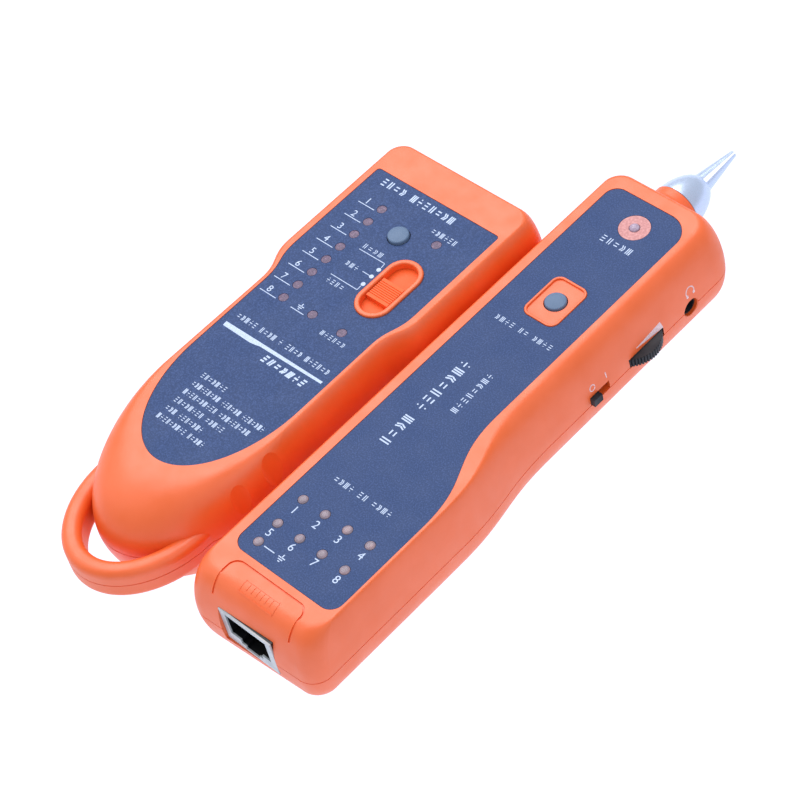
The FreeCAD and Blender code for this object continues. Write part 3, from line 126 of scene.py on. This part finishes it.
def bump(made, shader, source, depth_mm):
    """Surface grain of a depth given in millimetres."""
    created = node(made, "ShaderNodeBump", Strength=1.0, Distance=depth_mm * MM)
    made.node_tree.links.new(source, created.inputs["Height"])
    made.node_tree.links.new(created.outputs["Normal"], shader.inputs["Normal"])


def mixed(colour, other, amount):
    """A colour part of the way to another."""
    return tuple(a + (b - a) * amount for a, b in zip(colour, other))


def moulded(name, colour, roughness, mottle=0.06, grain_mm=0.35, **sockets):
    """Moulded plastic: faint mottling, a fine spark-eroded grain, uneven gloss."""
    cloud_mm, gloss_mm, grain_depth_mm = 9.0, 4.0, 0.008
    made, shader = new_material(name, colour, roughness, **sockets)
    links = made.node_tree.links
    darker = mixed(colour, BLACK, mottle)
    lighter = mixed(colour, WHITE, mottle * 0.35)
    links.new(ramp(made, noise(made, cloud_mm), [(0.32, darker), (0.68, lighter)]),
              shader.inputs["Base Color"])
    links.new(spread(made, noise(made, gloss_mm), roughness - 0.05, roughness + 0.07),
              shader.inputs["Roughness"])
    bump(made, shader, noise(made, grain_mm, detail=2.0), grain_depth_mm)
    return made


def speckled(name, colour, fleck, roughness, fleck_mm=0.3, depth_mm=0.006, **sockets):
    """A film or lens with fine flecks in it."""
    gloss_mm = 6.0
    made, shader = new_material(name, colour, roughness, **sockets)
    links = made.node_tree.links
    grain = noise(made, fleck_mm, detail=2.0)
    darker = mixed(colour, BLACK, 0.16)
    links.new(ramp(made, grain, [(0.35, darker), (0.52, colour), (0.66, fleck)]),
              shader.inputs["Base Color"])
    links.new(spread(made, noise(made, gloss_mm), roughness - 0.04, roughness + 0.08),
              shader.inputs["Roughness"])
    bump(made, shader, grain, depth_mm)
    return made


def metal(name, colour, roughness, metallic=1.0, brush=(1, 1, 1)):
    """Turned or plated metal, with fine marks that brush stretches along one direction."""
    mark_mm, mark_depth_mm = 0.25, 0.002
    made, shader = new_material(name, colour, roughness, metallic)
    links = made.node_tree.links
    marks = noise(made, mark_mm, stretch=brush)
    links.new(ramp(made, marks, [(0.3, mixed(colour, BLACK, 0.14)), (0.7, colour)]),
              shader.inputs["Base Color"])
    links.new(spread(made, marks, roughness - 0.05, roughness + 0.08),
              shader.inputs["Roughness"])
    bump(made, shader, marks, mark_depth_mm)
    return made


def socket_finish(name, front_y, inward):
    """Light grey plastic on the rim round the mouth's front edge, and painted shade, near black,
    everywhere deeper in, standing in for the dark inside the socket's hollow.
    """
    rim_depth, fade = 0.35 * MM, 0.05 * MM
    first_colour, second_colour, mixed_colour = 6, 7, 2   # the mix node's sockets for colours
    made, shader = new_material(name, (0.45, 0.50, 0.54), 0.32)
    links = made.node_tree.links
    place = node(made, "ShaderNodeTexCoord")
    split = node(made, "ShaderNodeSeparateXYZ")
    depth = node(made, "ShaderNodeMapRange", From_Min=front_y + inward * rim_depth,
                 From_Max=front_y + inward * (rim_depth + fade))
    blend = node(made, "ShaderNodeMix", data_type="RGBA")
    grey = ramp(made, noise(made, 3.0), [(0.35, (0.42, 0.47, 0.51)), (0.65, (0.56, 0.61, 0.65))])
    links.new(place.outputs["Object"], split.inputs["Vector"])
    links.new(split.outputs["Y"], depth.inputs["Value"])
    links.new(depth.outputs["Result"], blend.inputs["Factor"])
    links.new(grey, blend.inputs[first_colour])
    # Painted shade: near black deeper in the mouth, standing in for the shadow inside the
    # socket.
    blend.inputs[second_colour].default_value = (0.006, 0.007, 0.010, 1)
    links.new(blend.outputs[mixed_colour], shader.inputs["Base Color"])
    bump(made, shader, noise(made, 0.3), 0.005)
    return made


shell_plastic = moulded("orange_shell_plastic", (0.94, 0.136, 0.015), 0.42, mottle=0.05,
                        ior=1.72)
knob_plastic = moulded("orange_knob_plastic", (0.95, 0.135, 0.016), 0.42, mottle=0.05,
                       grain_mm=0.25, **{SPECULAR: 0.35})
label_film = speckled("slate_label_film", (0.043, 0.079, 0.205), (0.066, 0.112, 0.28), 0.5,
                      fleck_mm=0.32, **{SPECULAR: 0.2})
print_ink = speckled("printed_ink", (0.60, 0.72, 0.98), (0.72, 0.84, 1.0), 0.5,
                     fleck_mm=0.22, depth_mm=0.003, **{SPECULAR: 0.3})
side_ink = speckled("side_printed_ink", (0.86, 0.62, 0.66), (0.95, 0.80, 0.82), 0.5,
                    fleck_mm=0.22, depth_mm=0.003, **{SPECULAR: 0.3})
button_plastic = moulded("button_plastic", (0.115, 0.19, 0.33), 0.38, mottle=0.10,
                         grain_mm=0.3, **{SPECULAR: 0.3})
dark_plastic = moulded("dark_plastic", (0.008, 0.011, 0.022), 0.45, mottle=0.25, ior=1.2)
lens_flush = speckled("flush_lamp_lens", (0.15, 0.10, 0.175), (0.24, 0.155, 0.25), 0.34,
                      fleck_mm=0.5, **{SPECULAR: 0.4})
lens_domed = speckled("domed_lamp_lens", (0.38, 0.30, 0.37), (0.50, 0.34, 0.38), 0.2,
                      fleck_mm=2.4, depth_mm=0.002, Transmission_Weight=0.2)
window_plastic = speckled("power_window_plastic", (0.66, 0.27, 0.27), (0.74, 0.35, 0.35),
                          0.34, fleck_mm=0.5, depth_mm=0.003)
power_lens = speckled("power_lamp_lens", (0.60, 0.46, 0.62), (0.70, 0.60, 0.78), 0.14,
                      fleck_mm=0.7, depth_mm=0.002, Transmission_Weight=0.15)
board_laminate = speckled("board_laminate", (0.012, 0.10, 0.035), (0.03, 0.17, 0.07), 0.35)
chip_plastic = moulded("chip_plastic", (0.014, 0.014, 0.015), 0.5, mottle=0.2)
battery_wrap = moulded("battery_wrap", (0.03, 0.05, 0.10), 0.3, mottle=0.1)
red_insulation = moulded("red_insulation", (0.45, 0.012, 0.012), 0.35)
black_insulation = moulded("black_insulation", (0.010, 0.010, 0.011), 0.35)
contact_gold = metal("contact_gold", (0.86, 0.58, 0.22), 0.24)
contact_steel = metal("contact_steel", (0.60, 0.60, 0.61), 0.28)
screw_steel = metal("screw_steel", (0.42, 0.42, 0.43), 0.33)
probe_metal = metal("probe_metal", (0.64, 0.76, 1.0), 0.32, metallic=0.6, brush=(1, 5, 1))
speaker_steel = metal("speaker_steel", (0.35, 0.35, 0.37), 0.36)
# The sockets: grey plastic, with painted shade deep in their mouths.
shaded_receiver_socket = socket_finish("receiver_socket_plastic_painted_shade",
                                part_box("receiver_rj45_socket")[0].y, 1)
shaded_emitter_socket = socket_finish("emitter_socket_plastic_painted_shade",
                               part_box("emitter_rj45_socket")[1].y, -1)

FINISHES = {
    shell_plastic: ("emitter_top_shell", "emitter_bottom_shell", "emitter_battery_cover",
                    "receiver_top_shell", "receiver_bottom_shell", "receiver_battery_cover"),
    knob_plastic: ("emitter_switch_knob",),
    label_film: ("emitter_face_label", "receiver_face_label"),
    dark_plastic: ("receiver_power_knob", "receiver_volume_wheel", "receiver_earphone_socket",
                   "emitter_switch_lever", "emitter_slide_switch", "receiver_power_switch",
                   "emitter_button_switch", "receiver_button_switch",
                   "receiver_volume_control"),
    button_plastic: ("emitter_button_cap", "receiver_button_cap"),
    shaded_emitter_socket: ("emitter_rj45_socket", "emitter_rj11_socket"),
    shaded_receiver_socket: ("receiver_rj45_socket",),
    lens_flush: ("emitter_lamps",),
    lens_domed: ("receiver_lamps",),
    power_lens: ("receiver_power_lamp",),
    window_plastic: ("receiver_power_window",),
    board_laminate: ("emitter_circuit_board", "receiver_lamp_board", "receiver_main_board"),
    chip_plastic: ("emitter_main_chip", "emitter_tone_chip", "receiver_main_chip",
                   "receiver_amplifier_chip"),
    battery_wrap: ("emitter_battery", "receiver_battery"),
    red_insulation: ("emitter_red_lead", "receiver_red_lead"),
    black_insulation: ("emitter_black_lead", "receiver_black_lead"),
    contact_gold: ("emitter_rj45_contacts", "emitter_rj11_contacts", "receiver_rj45_contacts"),
    contact_steel: ("emitter_battery_snap", "receiver_battery_snap"),
    screw_steel: ("emitter_case_screws", "receiver_case_screws", "emitter_cover_screw",
                  "receiver_cover_screw", "receiver_probe_nut"),
    probe_metal: ("receiver_probe",),
    speaker_steel: ("receiver_speaker",),
}


def dress_cad_nodes():
    """Every CAD node gets its own procedural finish; the sockets' finishes carry painted shade
    in their mouths.
    """
    for finish_material, names in FINISHES.items():
        for name in names:
            mesh = NODES[name].data
            mesh.materials.clear()
            mesh.materials.append(finish_material)
    named = {name for names in FINISHES.values() for name in names}
    assert named == set(NODES), sorted(set(NODES) ^ named)


# ------------------------------------------------------------------- places

# Places on a tool are in millimetres from a point on top of its label: the emitter's is in
# the middle, set back from the far edge, and the receiver's is set in from the near left corner.
emitter_low, emitter_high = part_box("emitter_face_label")
receiver_low, receiver_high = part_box("receiver_face_label")
EMITTER = Vector(((emitter_low.x + emitter_high.x) / 2, emitter_high.y - 41.3 * MM,
                  emitter_high.z))
RECEIVER = Vector((receiver_low.x + 12.85 * MM, receiver_low.y + 50.6 * MM, receiver_high.z))

EMITTER_ROWS = [32.41 - 4.52 * row for row in range(8)]
EMITTER_LAMPS = [(-9.13, y) for y in EMITTER_ROWS] + [(-0.25, 1.0), (8.79, 1.0), (8.48, 31.6)]
RECEIVER_COLUMNS = [-8.57 + 6.49 * column for column in range(4)]
RECEIVER_LAMPS = [(x, y) for y in (-33.85, -41.34) for x in RECEIVER_COLUMNS] + [(-8.57, -47.0)]
POWER_LAMP = (-0.9, 62.8)


# -------------------------------------------------------------- mesh helpers

def add_object(name, bm, surface, body, smooth=True):
    bmesh.ops.recalc_face_normals(bm, faces=bm.faces)
    mesh = bpy.data.meshes.new(name)
    bm.to_mesh(mesh)
    bm.free()
    mesh.materials.append(surface)
    made = bpy.data.objects.new(name, mesh)
    bpy.context.scene.collection.objects.link(made)
    if smooth:
        mesh.shade_smooth()
    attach(made, body)
    return made


def add_lathe(bm, centre, profile, segments):
    """A closed turned shape on a vertical axis; the profile runs from axis to axis."""
    rings = []
    for radius, z in profile[1:-1]:
        ring = []
        for step in range(segments):
            turn = 2 * math.pi * step / segments
            ring.append(bm.verts.new((centre[0] + radius * math.cos(turn),
                                      centre[1] + radius * math.sin(turn), z)))
        rings.append(ring)
    for lower, upper in zip(rings, rings[1:]):
        for step in range(segments):
            after = (step + 1) % segments
            bm.faces.new((lower[step], lower[after], upper[after], upper[step]))
    for ring, z in ((rings[0], profile[0][1]), (rings[-1], profile[-1][1])):
        tip = bm.verts.new((centre[0], centre[1], z))
        for step in range(segments):
            bm.faces.new((ring[step], ring[(step + 1) % segments], tip))


def add_prism(bm, outline, z, thickness):
    count = len(outline)
    lower = [bm.verts.new((x, y, z)) for x, y in outline]
    upper = [bm.verts.new((x, y, z + thickness)) for x, y in outline]
    bm.faces.new(upper)
    bm.faces.new(lower[::-1])
    for index in range(count):
        after = (index + 1) % count
        bm.faces.new((lower[index], lower[after], upper[after], upper[index]))


def run(start, end, steps):
    """Points at even steps from one place to another, both ends included."""
    start, end = Vector(start), Vector(end)
    return [start.lerp(end, step / steps) for step in range(steps + 1)]


# ----------------------------------------------------------------- printing

INK_RISE = 0.03 * MM
INK_SINK = 0.01 * MM

# Each mark is a few strokes in a unit box: bars, dashes and dots, none of them a letter.
MARKS = (
    ((0.12, 0.08, 0.88, 0.08), (0.12, 0.5, 0.88, 0.5), (0.12, 0.92, 0.88, 0.92)),
    ((0.25, 0, 0.25, 1), (0.7, 0, 0.7, 1)),
    ((0.12, 0.3, 0.88, 0.3), (0.12, 0.72, 0.88, 0.72)),
    ((0.22, 0.05, 0.5, 0.5), (0.5, 0.5, 0.22, 0.95), (0.6, 0.05, 0.88, 0.5),
     (0.88, 0.5, 0.6, 0.95)),
    ((0.15, 0, 0.15, 1), (0.5, 0, 0.5, 1), (0.85, 0, 0.85, 1)),
    ((0.1, 0.5, 0.9, 0.5), (0.4, 0.1, 0.6, 0.1), (0.4, 0.9, 0.6, 0.9)),
)
GROUP_GAP = 0.8          # between groups of marks, in pitches of a mark
MARK_FILL = 0.72         # a mark's width, in pitches


class Printing:
    """Ink on a tool's label: strokes and digits laid out along any direction."""

    def __init__(self, origin):
        self.origin, self.bm = origin, bmesh.new()

    def at(self, x, y):
        """Kit coordinates, in metres, of a point in the tool's millimetres."""
        return self.origin.x + x * MM, self.origin.y + y * MM

    def area(self, points):
        """A filled outline."""
        add_prism(self.bm, [self.at(x, y) for x, y in points], self.origin.z - INK_SINK,
                  INK_SINK + INK_RISE)

    def line(self, *points, width):
        """Straight strokes from point to point."""
        for start, end in zip(points, points[1:]):
            start, end = Vector(start), Vector(end)
            side = (end - start).orthogonal().normalized() * width / 2
            self.area([start - side, end - side, end + side, start + side])

    def dot(self, centre, radius, sides=20):
        """A round dot."""
        turns = [2 * math.pi * index / sides for index in range(sides)]
        self.area([(centre[0] + radius * math.cos(turn), centre[1] + radius * math.sin(turn))
                   for turn in turns])

    def earth(self, x, y, stem, halves, pitch, width):
        """An earth symbol: a short stem on bars that get shorter downwards."""
        self.line((x, y), (x, y + stem), width=width + 0.02)
        for row, half in enumerate(halves):
            self.line((x - half, y - pitch * row), (x + half, y - pitch * row), width=width)

    def digit(self, text, centre, height):
        """A numeral of the given height, centred on a point."""
        curve = bpy.data.curves.new("numeral", "FONT")
        curve.body, curve.extrude = text, 0.5      # one unit thick, before it is scaled
        holder = bpy.data.objects.new("numeral", curve)
        bpy.context.scene.collection.objects.link(holder)
        bpy.context.view_layer.update()
        evaluated = holder.evaluated_get(bpy.context.evaluated_depsgraph_get())
        mesh = bpy.data.meshes.new_from_object(evaluated)
        low = Vector(map(min, *(v.co for v in mesh.vertices)))
        high = Vector(map(max, *(v.co for v in mesh.vertices)))
        scale = height * MM / (high.y - low.y)
        x, y = self.at(*centre)
        z = self.origin.z + (INK_RISE - INK_SINK) / 2
        mesh.transform(Matrix.Translation((x, y, z))
                       @ Matrix.Diagonal((scale, scale, INK_RISE + INK_SINK, 1))
                       @ Matrix.Translation((low + high) / -2))
        self.bm.from_mesh(mesh)
        bpy.data.objects.remove(holder)
        bpy.data.curves.remove(curve)
        bpy.data.meshes.remove(mesh)

    def marks(self, start, end, height, groups, lean=0.0, weight=0.135, pattern=0):
        """A line of plain strokes in place of words: groups of marks from start to end.

        lean slants the marks, weight is a stroke's width in heights, and pattern is the
        number of the first mark.
        """
        start, end = Vector(start), Vector(end)
        along = (end - start).normalized()
        up = Vector((-along.y, along.x))
        pitch = (end - start).length / (sum(groups) + GROUP_GAP * (len(groups) - 1))
        reach, number = 0.0, pattern
        for group in groups:
            for _ in range(group):
                for x0, y0, x1, y1 in MARKS[number % len(MARKS)]:
                    ends = []
                    for u, v in ((x0, y0), (x1, y1)):
                        across = reach + u * pitch * MARK_FILL + lean * v * height
                        ends.append(start + along * across + up * v * height)
                    self.line(*ends, width=height * weight)
                number += 1
                reach += pitch
            reach += GROUP_GAP * pitch

    def finish(self, name, body):
        """The ink as one object riding on the tool."""
        return add_object(name, self.bm, print_ink, body, smooth=False)


def print_emitter():
    """Ink on the emitter's label."""
    ink = Printing(EMITTER)

    # The title, and the name of the lamp on the right.
    ink.marks((-15.0, 37.8), (7.5, 37.8), 2.1, (4, 7), weight=0.16)
    ink.marks((4.8, 33.5), (12.4, 33.5), 1.5, (6,), pattern=2)

    # Numerals beside the column of lamps, and the symbol and name of the two lamps below.
    for number, y in enumerate(EMITTER_ROWS, 1):
        ink.digit(str(number), (-13.45, y + 0.1), 1.75)
        ink.line((-15.4, y - 1.22), (-10.4, y - 1.22), width=0.2)
    ink.earth(-3.96, 1.2, 0.8, (0.85, 0.55, 0.25), 0.45, width=0.22)
    ink.line((-5.8, -0.26), (-1.83, -0.26), width=0.2)
    ink.marks((4.8, -2.1), (12.3, -2.1), 1.3, (6,), pattern=4)

    # Names of the slide knob's three places, each with a leader to its dot.
    ink.marks((-5.0, 21.55), (1.2, 21.55), 1.35, (4,), pattern=1)
    ink.marks((-4.8, 15.65), (-0.7, 15.65), 1.35, (3,), pattern=3)
    ink.marks((-4.9, 9.65), (0.5, 9.65), 1.35, (4,), pattern=5)
    ink.line((-5.08, 20.85), (2.75, 20.95), (2.95, 19.6), width=0.18)
    ink.line((0.2, 16.47), (2.3, 16.47), width=0.18)
    ink.line((-5.19, 11.85), (2.93, 11.87), (2.85, 13.2), width=0.18)
    for y in (18.86, 16.51, 13.86):
        ink.dot((2.9, y), 0.55)

    # The tapered bar with a line of print above it and another below it.
    ink.marks((-13.9, -9.5), (14.7, -9.5), 1.5, (5, 4, 1, 4, 6), pattern=2)
    ink.area([(-14.75, -11.56), (-2.95, -11.38), (15.0, -11.21), (15.03, -11.87),
              (-3.49, -12.3), (-4.46, -12.56), (-5.95, -12.81), (-14.6, -12.78)])
    ink.marks((-0.8, -14.95), (12.6, -14.95), 1.8, (7,), lean=0.25, weight=0.24)

    # Six lines of small print on the nose.
    lines = ((-26.0, -0.4, (7,)), (-28.8, 14.2, (9, 6, 7)), (-31.4, 12.2, (10, 9)),
             (-34.1, 7.1, (8, 5)), (-36.8, 3.4, (3, 7)), (-39.4, 6.5, (9, 5)))
    for number, (y, end, groups) in enumerate(lines):
        ink.marks((-8.2, y), (end, y), 1.4, groups, pattern=number * 2)
    ink.finish("emitter_printing", "emitter")


def print_receiver():
    """Ink on the receiver's label."""
    ink = Printing(RECEIVER)

    # Names of the power lamp and the button, the title along the tool, and the lamps' name.
    ink.marks((-5.2, 55.8), (3.8, 55.8), 1.8, (5,))
    ink.marks((-9.1, 25.7), (7.3, 25.7), 1.4, (4, 2, 4), pattern=3)
    ink.marks((-3.9, -13.3), (-3.9, 13.9), 2.6, (4, 7), pattern=1)
    ink.marks((2.07, 1.4), (2.07, 14.1), 1.65, (8,), pattern=4)
    ink.marks((-7.0, -26.65), (9.6, -26.65), 1.5, (4, 2, 4), pattern=2)

    # Numerals below the lamps, and a dash and an earth symbol beside the ninth.
    places = ((-8.09, -36.8), (-1.75, -36.8), (4.5, -36.75), (11.15, -36.8),
              (-8.3, -44.0), (-1.9, -43.85), (4.56, -43.8), (11.17, -44.0))
    for number, centre in enumerate(places, 1):
        ink.digit(str(number), centre, 1.95)
    ink.line((-6.76, -47.1), (-3.74, -47.1), width=0.24)
    ink.earth(-1.7, -47.0, 0.9, (0.95, 0.62, 0.28), 0.5, width=0.24)
    ink.finish("receiver_printing", "receiver")


# ------------------------------------------------------------ marks on walls

class Relief:
    """Strokes laid on a curved wall: flat shapes projected on it along an axis.

    A flat point is two distances in millimetres, one along each of the two axes: from the
    origin, or from the floor where the axis is the upright one.
    """

    def __init__(self, node_name, origin, axes, facing, rise):
        mesh = NODES[node_name].data
        self.tree = BVHTree.FromPolygons([v.co for v in mesh.vertices],
                                         [p.vertices for p in mesh.polygons])
        self.origin, self.axes, self.facing = origin, axes, facing
        self.rise, self.bm = rise, bmesh.new()

    def on_wall(self, *flat):
        """The wall's point under a flat point, and the outward direction there."""
        outside = 0.2
        start = self.facing * outside
        for axis, distance in zip(self.axes, flat):
            start[axis] = distance * MM + (0 if axis == UP else self.origin[axis])
        place, normal, _, _ = self.tree.ray_cast(start, -self.facing)
        return place, normal if normal.dot(self.facing) > 0 else -normal

    def strip(self, first_rail, second_rail):
        """A closed band between two rails of points."""
        rails = []
        for points in (first_rail, second_rail):
            for depth in (-INK_SINK, self.rise):
                rails.append([self.bm.verts.new(place + normal * depth)
                              for place, normal in (self.on_wall(*point) for point in points)])
        low_a, top_a, low_b, top_b = rails
        ring = (low_a, top_a, top_b, low_b)
        for index in range(len(first_rail) - 1):
            for one, two in zip(ring, ring[1:] + ring[:1]):
                self.bm.faces.new((one[index], one[index + 1], two[index + 1], two[index]))
        for end in (0, -1):
            self.bm.faces.new([rail[end] for rail in ring])

    def line(self, points, width, steps=6):
        """A stroke of even width along a run of points, each stretch in so many steps."""
        path = []
        for start, end in zip(points, points[1:]):
            path += run(start, end, steps)[:-1]
        path.append(Vector(points[-1]))
        rails = [], []
        for index, point in enumerate(path):
            along = path[min(index + 1, len(path) - 1)] - path[max(index - 1, 0)]
            side = Vector((-along.y, along.x)).normalized() * width / 2
            rails[0].append(point + side)
            rails[1].append(point - side)
        self.strip(*rails)

    def arc(self, centre, radius, start, end, width, steps=28):
        """A curved stroke, its angles in degrees."""
        turns = [math.radians(start + (end - start) * step / steps)
                 for step in range(steps + 1)]
        self.line([(centre[0] + radius * math.cos(turn), centre[1] + radius * math.sin(turn))
                   for turn in turns], width, steps=1)

    def finish(self, name, surface):
        """The relief as one object riding on the receiver."""
        return add_object(name, self.bm, surface, "receiver", smooth=False)


def receiver_side_marks():
    """Earphone and power symbols and the volume wedge on the receiver's side."""
    side = Relief("receiver_top_shell", RECEIVER, (ALONG, UP), Vector((1, 0, 0)), INK_RISE)

    # Earphones: a band over two cups.
    side.arc((60.6, 17.7), 1.25, -30, 210, width=0.26)
    for cup in (59.55, 61.65):
        side.line([(cup, 16.55), (cup, 17.25)], width=0.6, steps=2)

    # The wedge widens towards the loud end.
    side.strip(run((42.2, 16.6), (50.9, 15.4), 12), run((42.2, 16.75), (50.35, 17.5), 12))

    # A ring for off and a bar for on.
    side.arc((28.0, 17.4), 0.75, 0, 350, width=0.24)
    side.line([(32.4, 16.6), (32.4, 18.2)], width=0.26)
    side.finish("receiver_side_marks", side_ink)


def receiver_plate_mark():
    """A raised pictogram of a modular socket on the plate above the real one."""
    plate = Relief("receiver_top_shell", RECEIVER, (ACROSS, ALONG), Vector((0, 0, 1)),
                   0.09 * MM)
    left, right, near, far = -3.6, 6.0, -57.9, -55.1
    for y in (near, far):
        plate.line([(left, y), (right, y)], width=0.32, steps=16)
    for x in (left, right):
        plate.line([(x, near + 0.2), (x, far - 0.2)], width=0.32)
    for tick in range(6):
        x = left + 1.55 + 1.3 * tick
        plate.line([(x, near + 0.9), (x, far - 0.3)], width=0.3)
    plate.finish("receiver_plate_mark", shell_plastic)


# --------------------------------------------------------- caps and lenses

SHARP_EDGE = math.radians(50)


def button_cap(name, node_name, body):
    """A push button: hollow flanged foot, straight side, rounded rim, domed face."""
    face_radius, bore_radius = 2.5 * MM, 1.85 * MM
    flange_height, bore_height = 0.9 * MM, 1.7 * MM
    rim, dome = 0.4 * MM, 0.22 * MM
    rim_steps, dome_steps = 6, 8
    low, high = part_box(node_name)
    flange_radius, inner_radius = (high.x - low.x) / 2, face_radius - rim
    rim_base = high.z - dome - rim
    profile = [(0, low.z + bore_height), (bore_radius, low.z + bore_height),
               (bore_radius, low.z), (flange_radius, low.z),
               (flange_radius, low.z + flange_height), (face_radius, low.z + flange_height)]
    for step in range(rim_steps + 1):
        turn = math.pi / 2 * step / rim_steps
        profile.append((inner_radius + rim * math.cos(turn), rim_base + rim * math.sin(turn)))
    for step in range(1, dome_steps + 1):
        outward = 1 - step / dome_steps
        profile.append((inner_radius * outward, high.z - dome * outward ** 2))
    bm = bmesh.new()
    add_lathe(bm, (low + high) / 2, profile, 64)
    cap = add_object(name, bm, button_plastic, body)
    cap.data.set_sharp_from_angle(angle=SHARP_EDGE)
    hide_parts(node_name)


def lamp_lenses(name, node_name, body, origin, places, dome, surface):
    """Round lamps: a wider body under the housing, a tip in the window, a domed end."""
    body_radius, tip_radius = 1.45 * MM, 1.15 * MM
    tip_height, dome_overlap, dome_steps = 0.45 * MM, 0.02 * MM, 8
    low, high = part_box(node_name)
    shoulder = high.z - tip_height
    profile = [(0, low.z), (body_radius, low.z), (body_radius, shoulder),
               (tip_radius, shoulder), (tip_radius, high.z - dome_overlap)]
    for step in range(dome_steps):
        turn = math.pi / 2 * step / dome_steps
        profile.append((tip_radius * math.cos(turn), high.z + dome * math.sin(turn)))
    profile.append((0, high.z + dome))
    bm = bmesh.new()
    for x, y in places:
        add_lathe(bm, (origin.x + x * MM, origin.y + y * MM), profile, 32)
    lenses = add_object(name, bm, surface, body)
    lenses.data.set_sharp_from_angle(angle=SHARP_EDGE)
    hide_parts(node_name)


# -------------------------------------------------------------- photography

def world_light():
    """Even, slightly cool light from all round."""
    world = bpy.data.worlds.new("studio")
    world.use_nodes = True
    background = world.node_tree.nodes["Background"]
    background.inputs["Color"].default_value = (0.95, 0.97, 1.0, 1)
    background.inputs["Strength"].default_value = 0.54
    bpy.context.scene.world = world


def area_light(name, target, offset, size, power):
    """A soft square light at an offset from a point, aimed at the point."""
    light = bpy.data.lights.new(name, "AREA")
    light.energy, light.size = power, size
    made = bpy.data.objects.new(name, light)
    made.location = target + Vector(offset)
    made.rotation_euler = (-Vector(offset)).to_track_quat("-Z", "Y").to_euler()
    bpy.context.scene.collection.objects.link(made)


def studio():
    floor_half, floor_gap = 1.5, 0.2 * MM
    low, high = cad_box
    middle = (low + high) / 2
    bm = bmesh.new()
    bm.faces.new([bm.verts.new((middle.x + sx * floor_half, middle.y + sy * floor_half,
                                low.z - floor_gap))
                  for sx, sy in ((-1, -1), (1, -1), (1, 1), (-1, 1))])
    mesh = bpy.data.meshes.new("floor")
    bm.to_mesh(mesh)
    bm.free()
    paper, _ = new_material("floor_paper", (0.06, 0.06, 0.06), 0.9, Emission_Strength=1.2,
                            Emission_Color=(0.84, 0.87, 1.0, 1))
    mesh.materials.append(paper)
    floor = bpy.data.objects.new("floor", mesh)
    bpy.context.scene.collection.objects.link(floor)
    world_light()
    area_light("key", middle, (-0.46, 0.26, 0.90), size=1.0, power=9.0)
    area_light("left_fill", middle, (-0.50, -0.40, 0.5), size=0.6, power=0.8)
    area_light("right_fill", middle, (0.60, -0.05, 0.55), size=0.6, power=0.9)


def camera():
    target = Vector((8.39, -14.60, 20.0)) * MM
    heading, height, roll = map(math.radians, (-55.207, 49.976, -15.15))
    distance = 545.75 * MM
    look = Vector((math.cos(height) * math.sin(heading),
                   math.cos(height) * math.cos(heading), -math.sin(height)))
    level = Vector((math.cos(heading), -math.sin(heading), 0))
    raised = level.cross(look)
    across = level * math.cos(roll) + raised * math.sin(roll)
    upward = raised * math.cos(roll) - level * math.sin(roll)
    turned = Matrix((across, upward, -look)).transposed().to_4x4()
    lens = bpy.data.cameras.new("camera")
    lens.lens, lens.sensor_width, lens.clip_start = 115.0, 36.0, 0.01
    made = bpy.data.objects.new("camera", lens)
    made.matrix_world = Matrix.Translation(target - look * distance) @ turned
    bpy.context.scene.collection.objects.link(made)
    bpy.context.scene.camera = made


dress_cad_nodes()
print_emitter()
print_receiver()
receiver_side_marks()
receiver_plate_mark()
lamp_lenses("emitter_lamp_lenses", "emitter_lamps", "emitter", EMITTER, EMITTER_LAMPS,
            0.1 * MM, lens_flush)
lamp_lenses("receiver_lamp_lenses", "receiver_lamps", "receiver", RECEIVER, RECEIVER_LAMPS,
            0.45 * MM, lens_domed)
lamp_lenses("receiver_power_lens", "receiver_power_lamp", "receiver", RECEIVER, [POWER_LAMP],
            0.7 * MM, power_lens)
button_cap("emitter_button_face", "emitter_button_cap", "emitter_button")
button_cap("receiver_button_face", "receiver_button_cap", "receiver_button")
studio()
camera()
bpy.context.scene.view_settings.view_transform = "Standard"
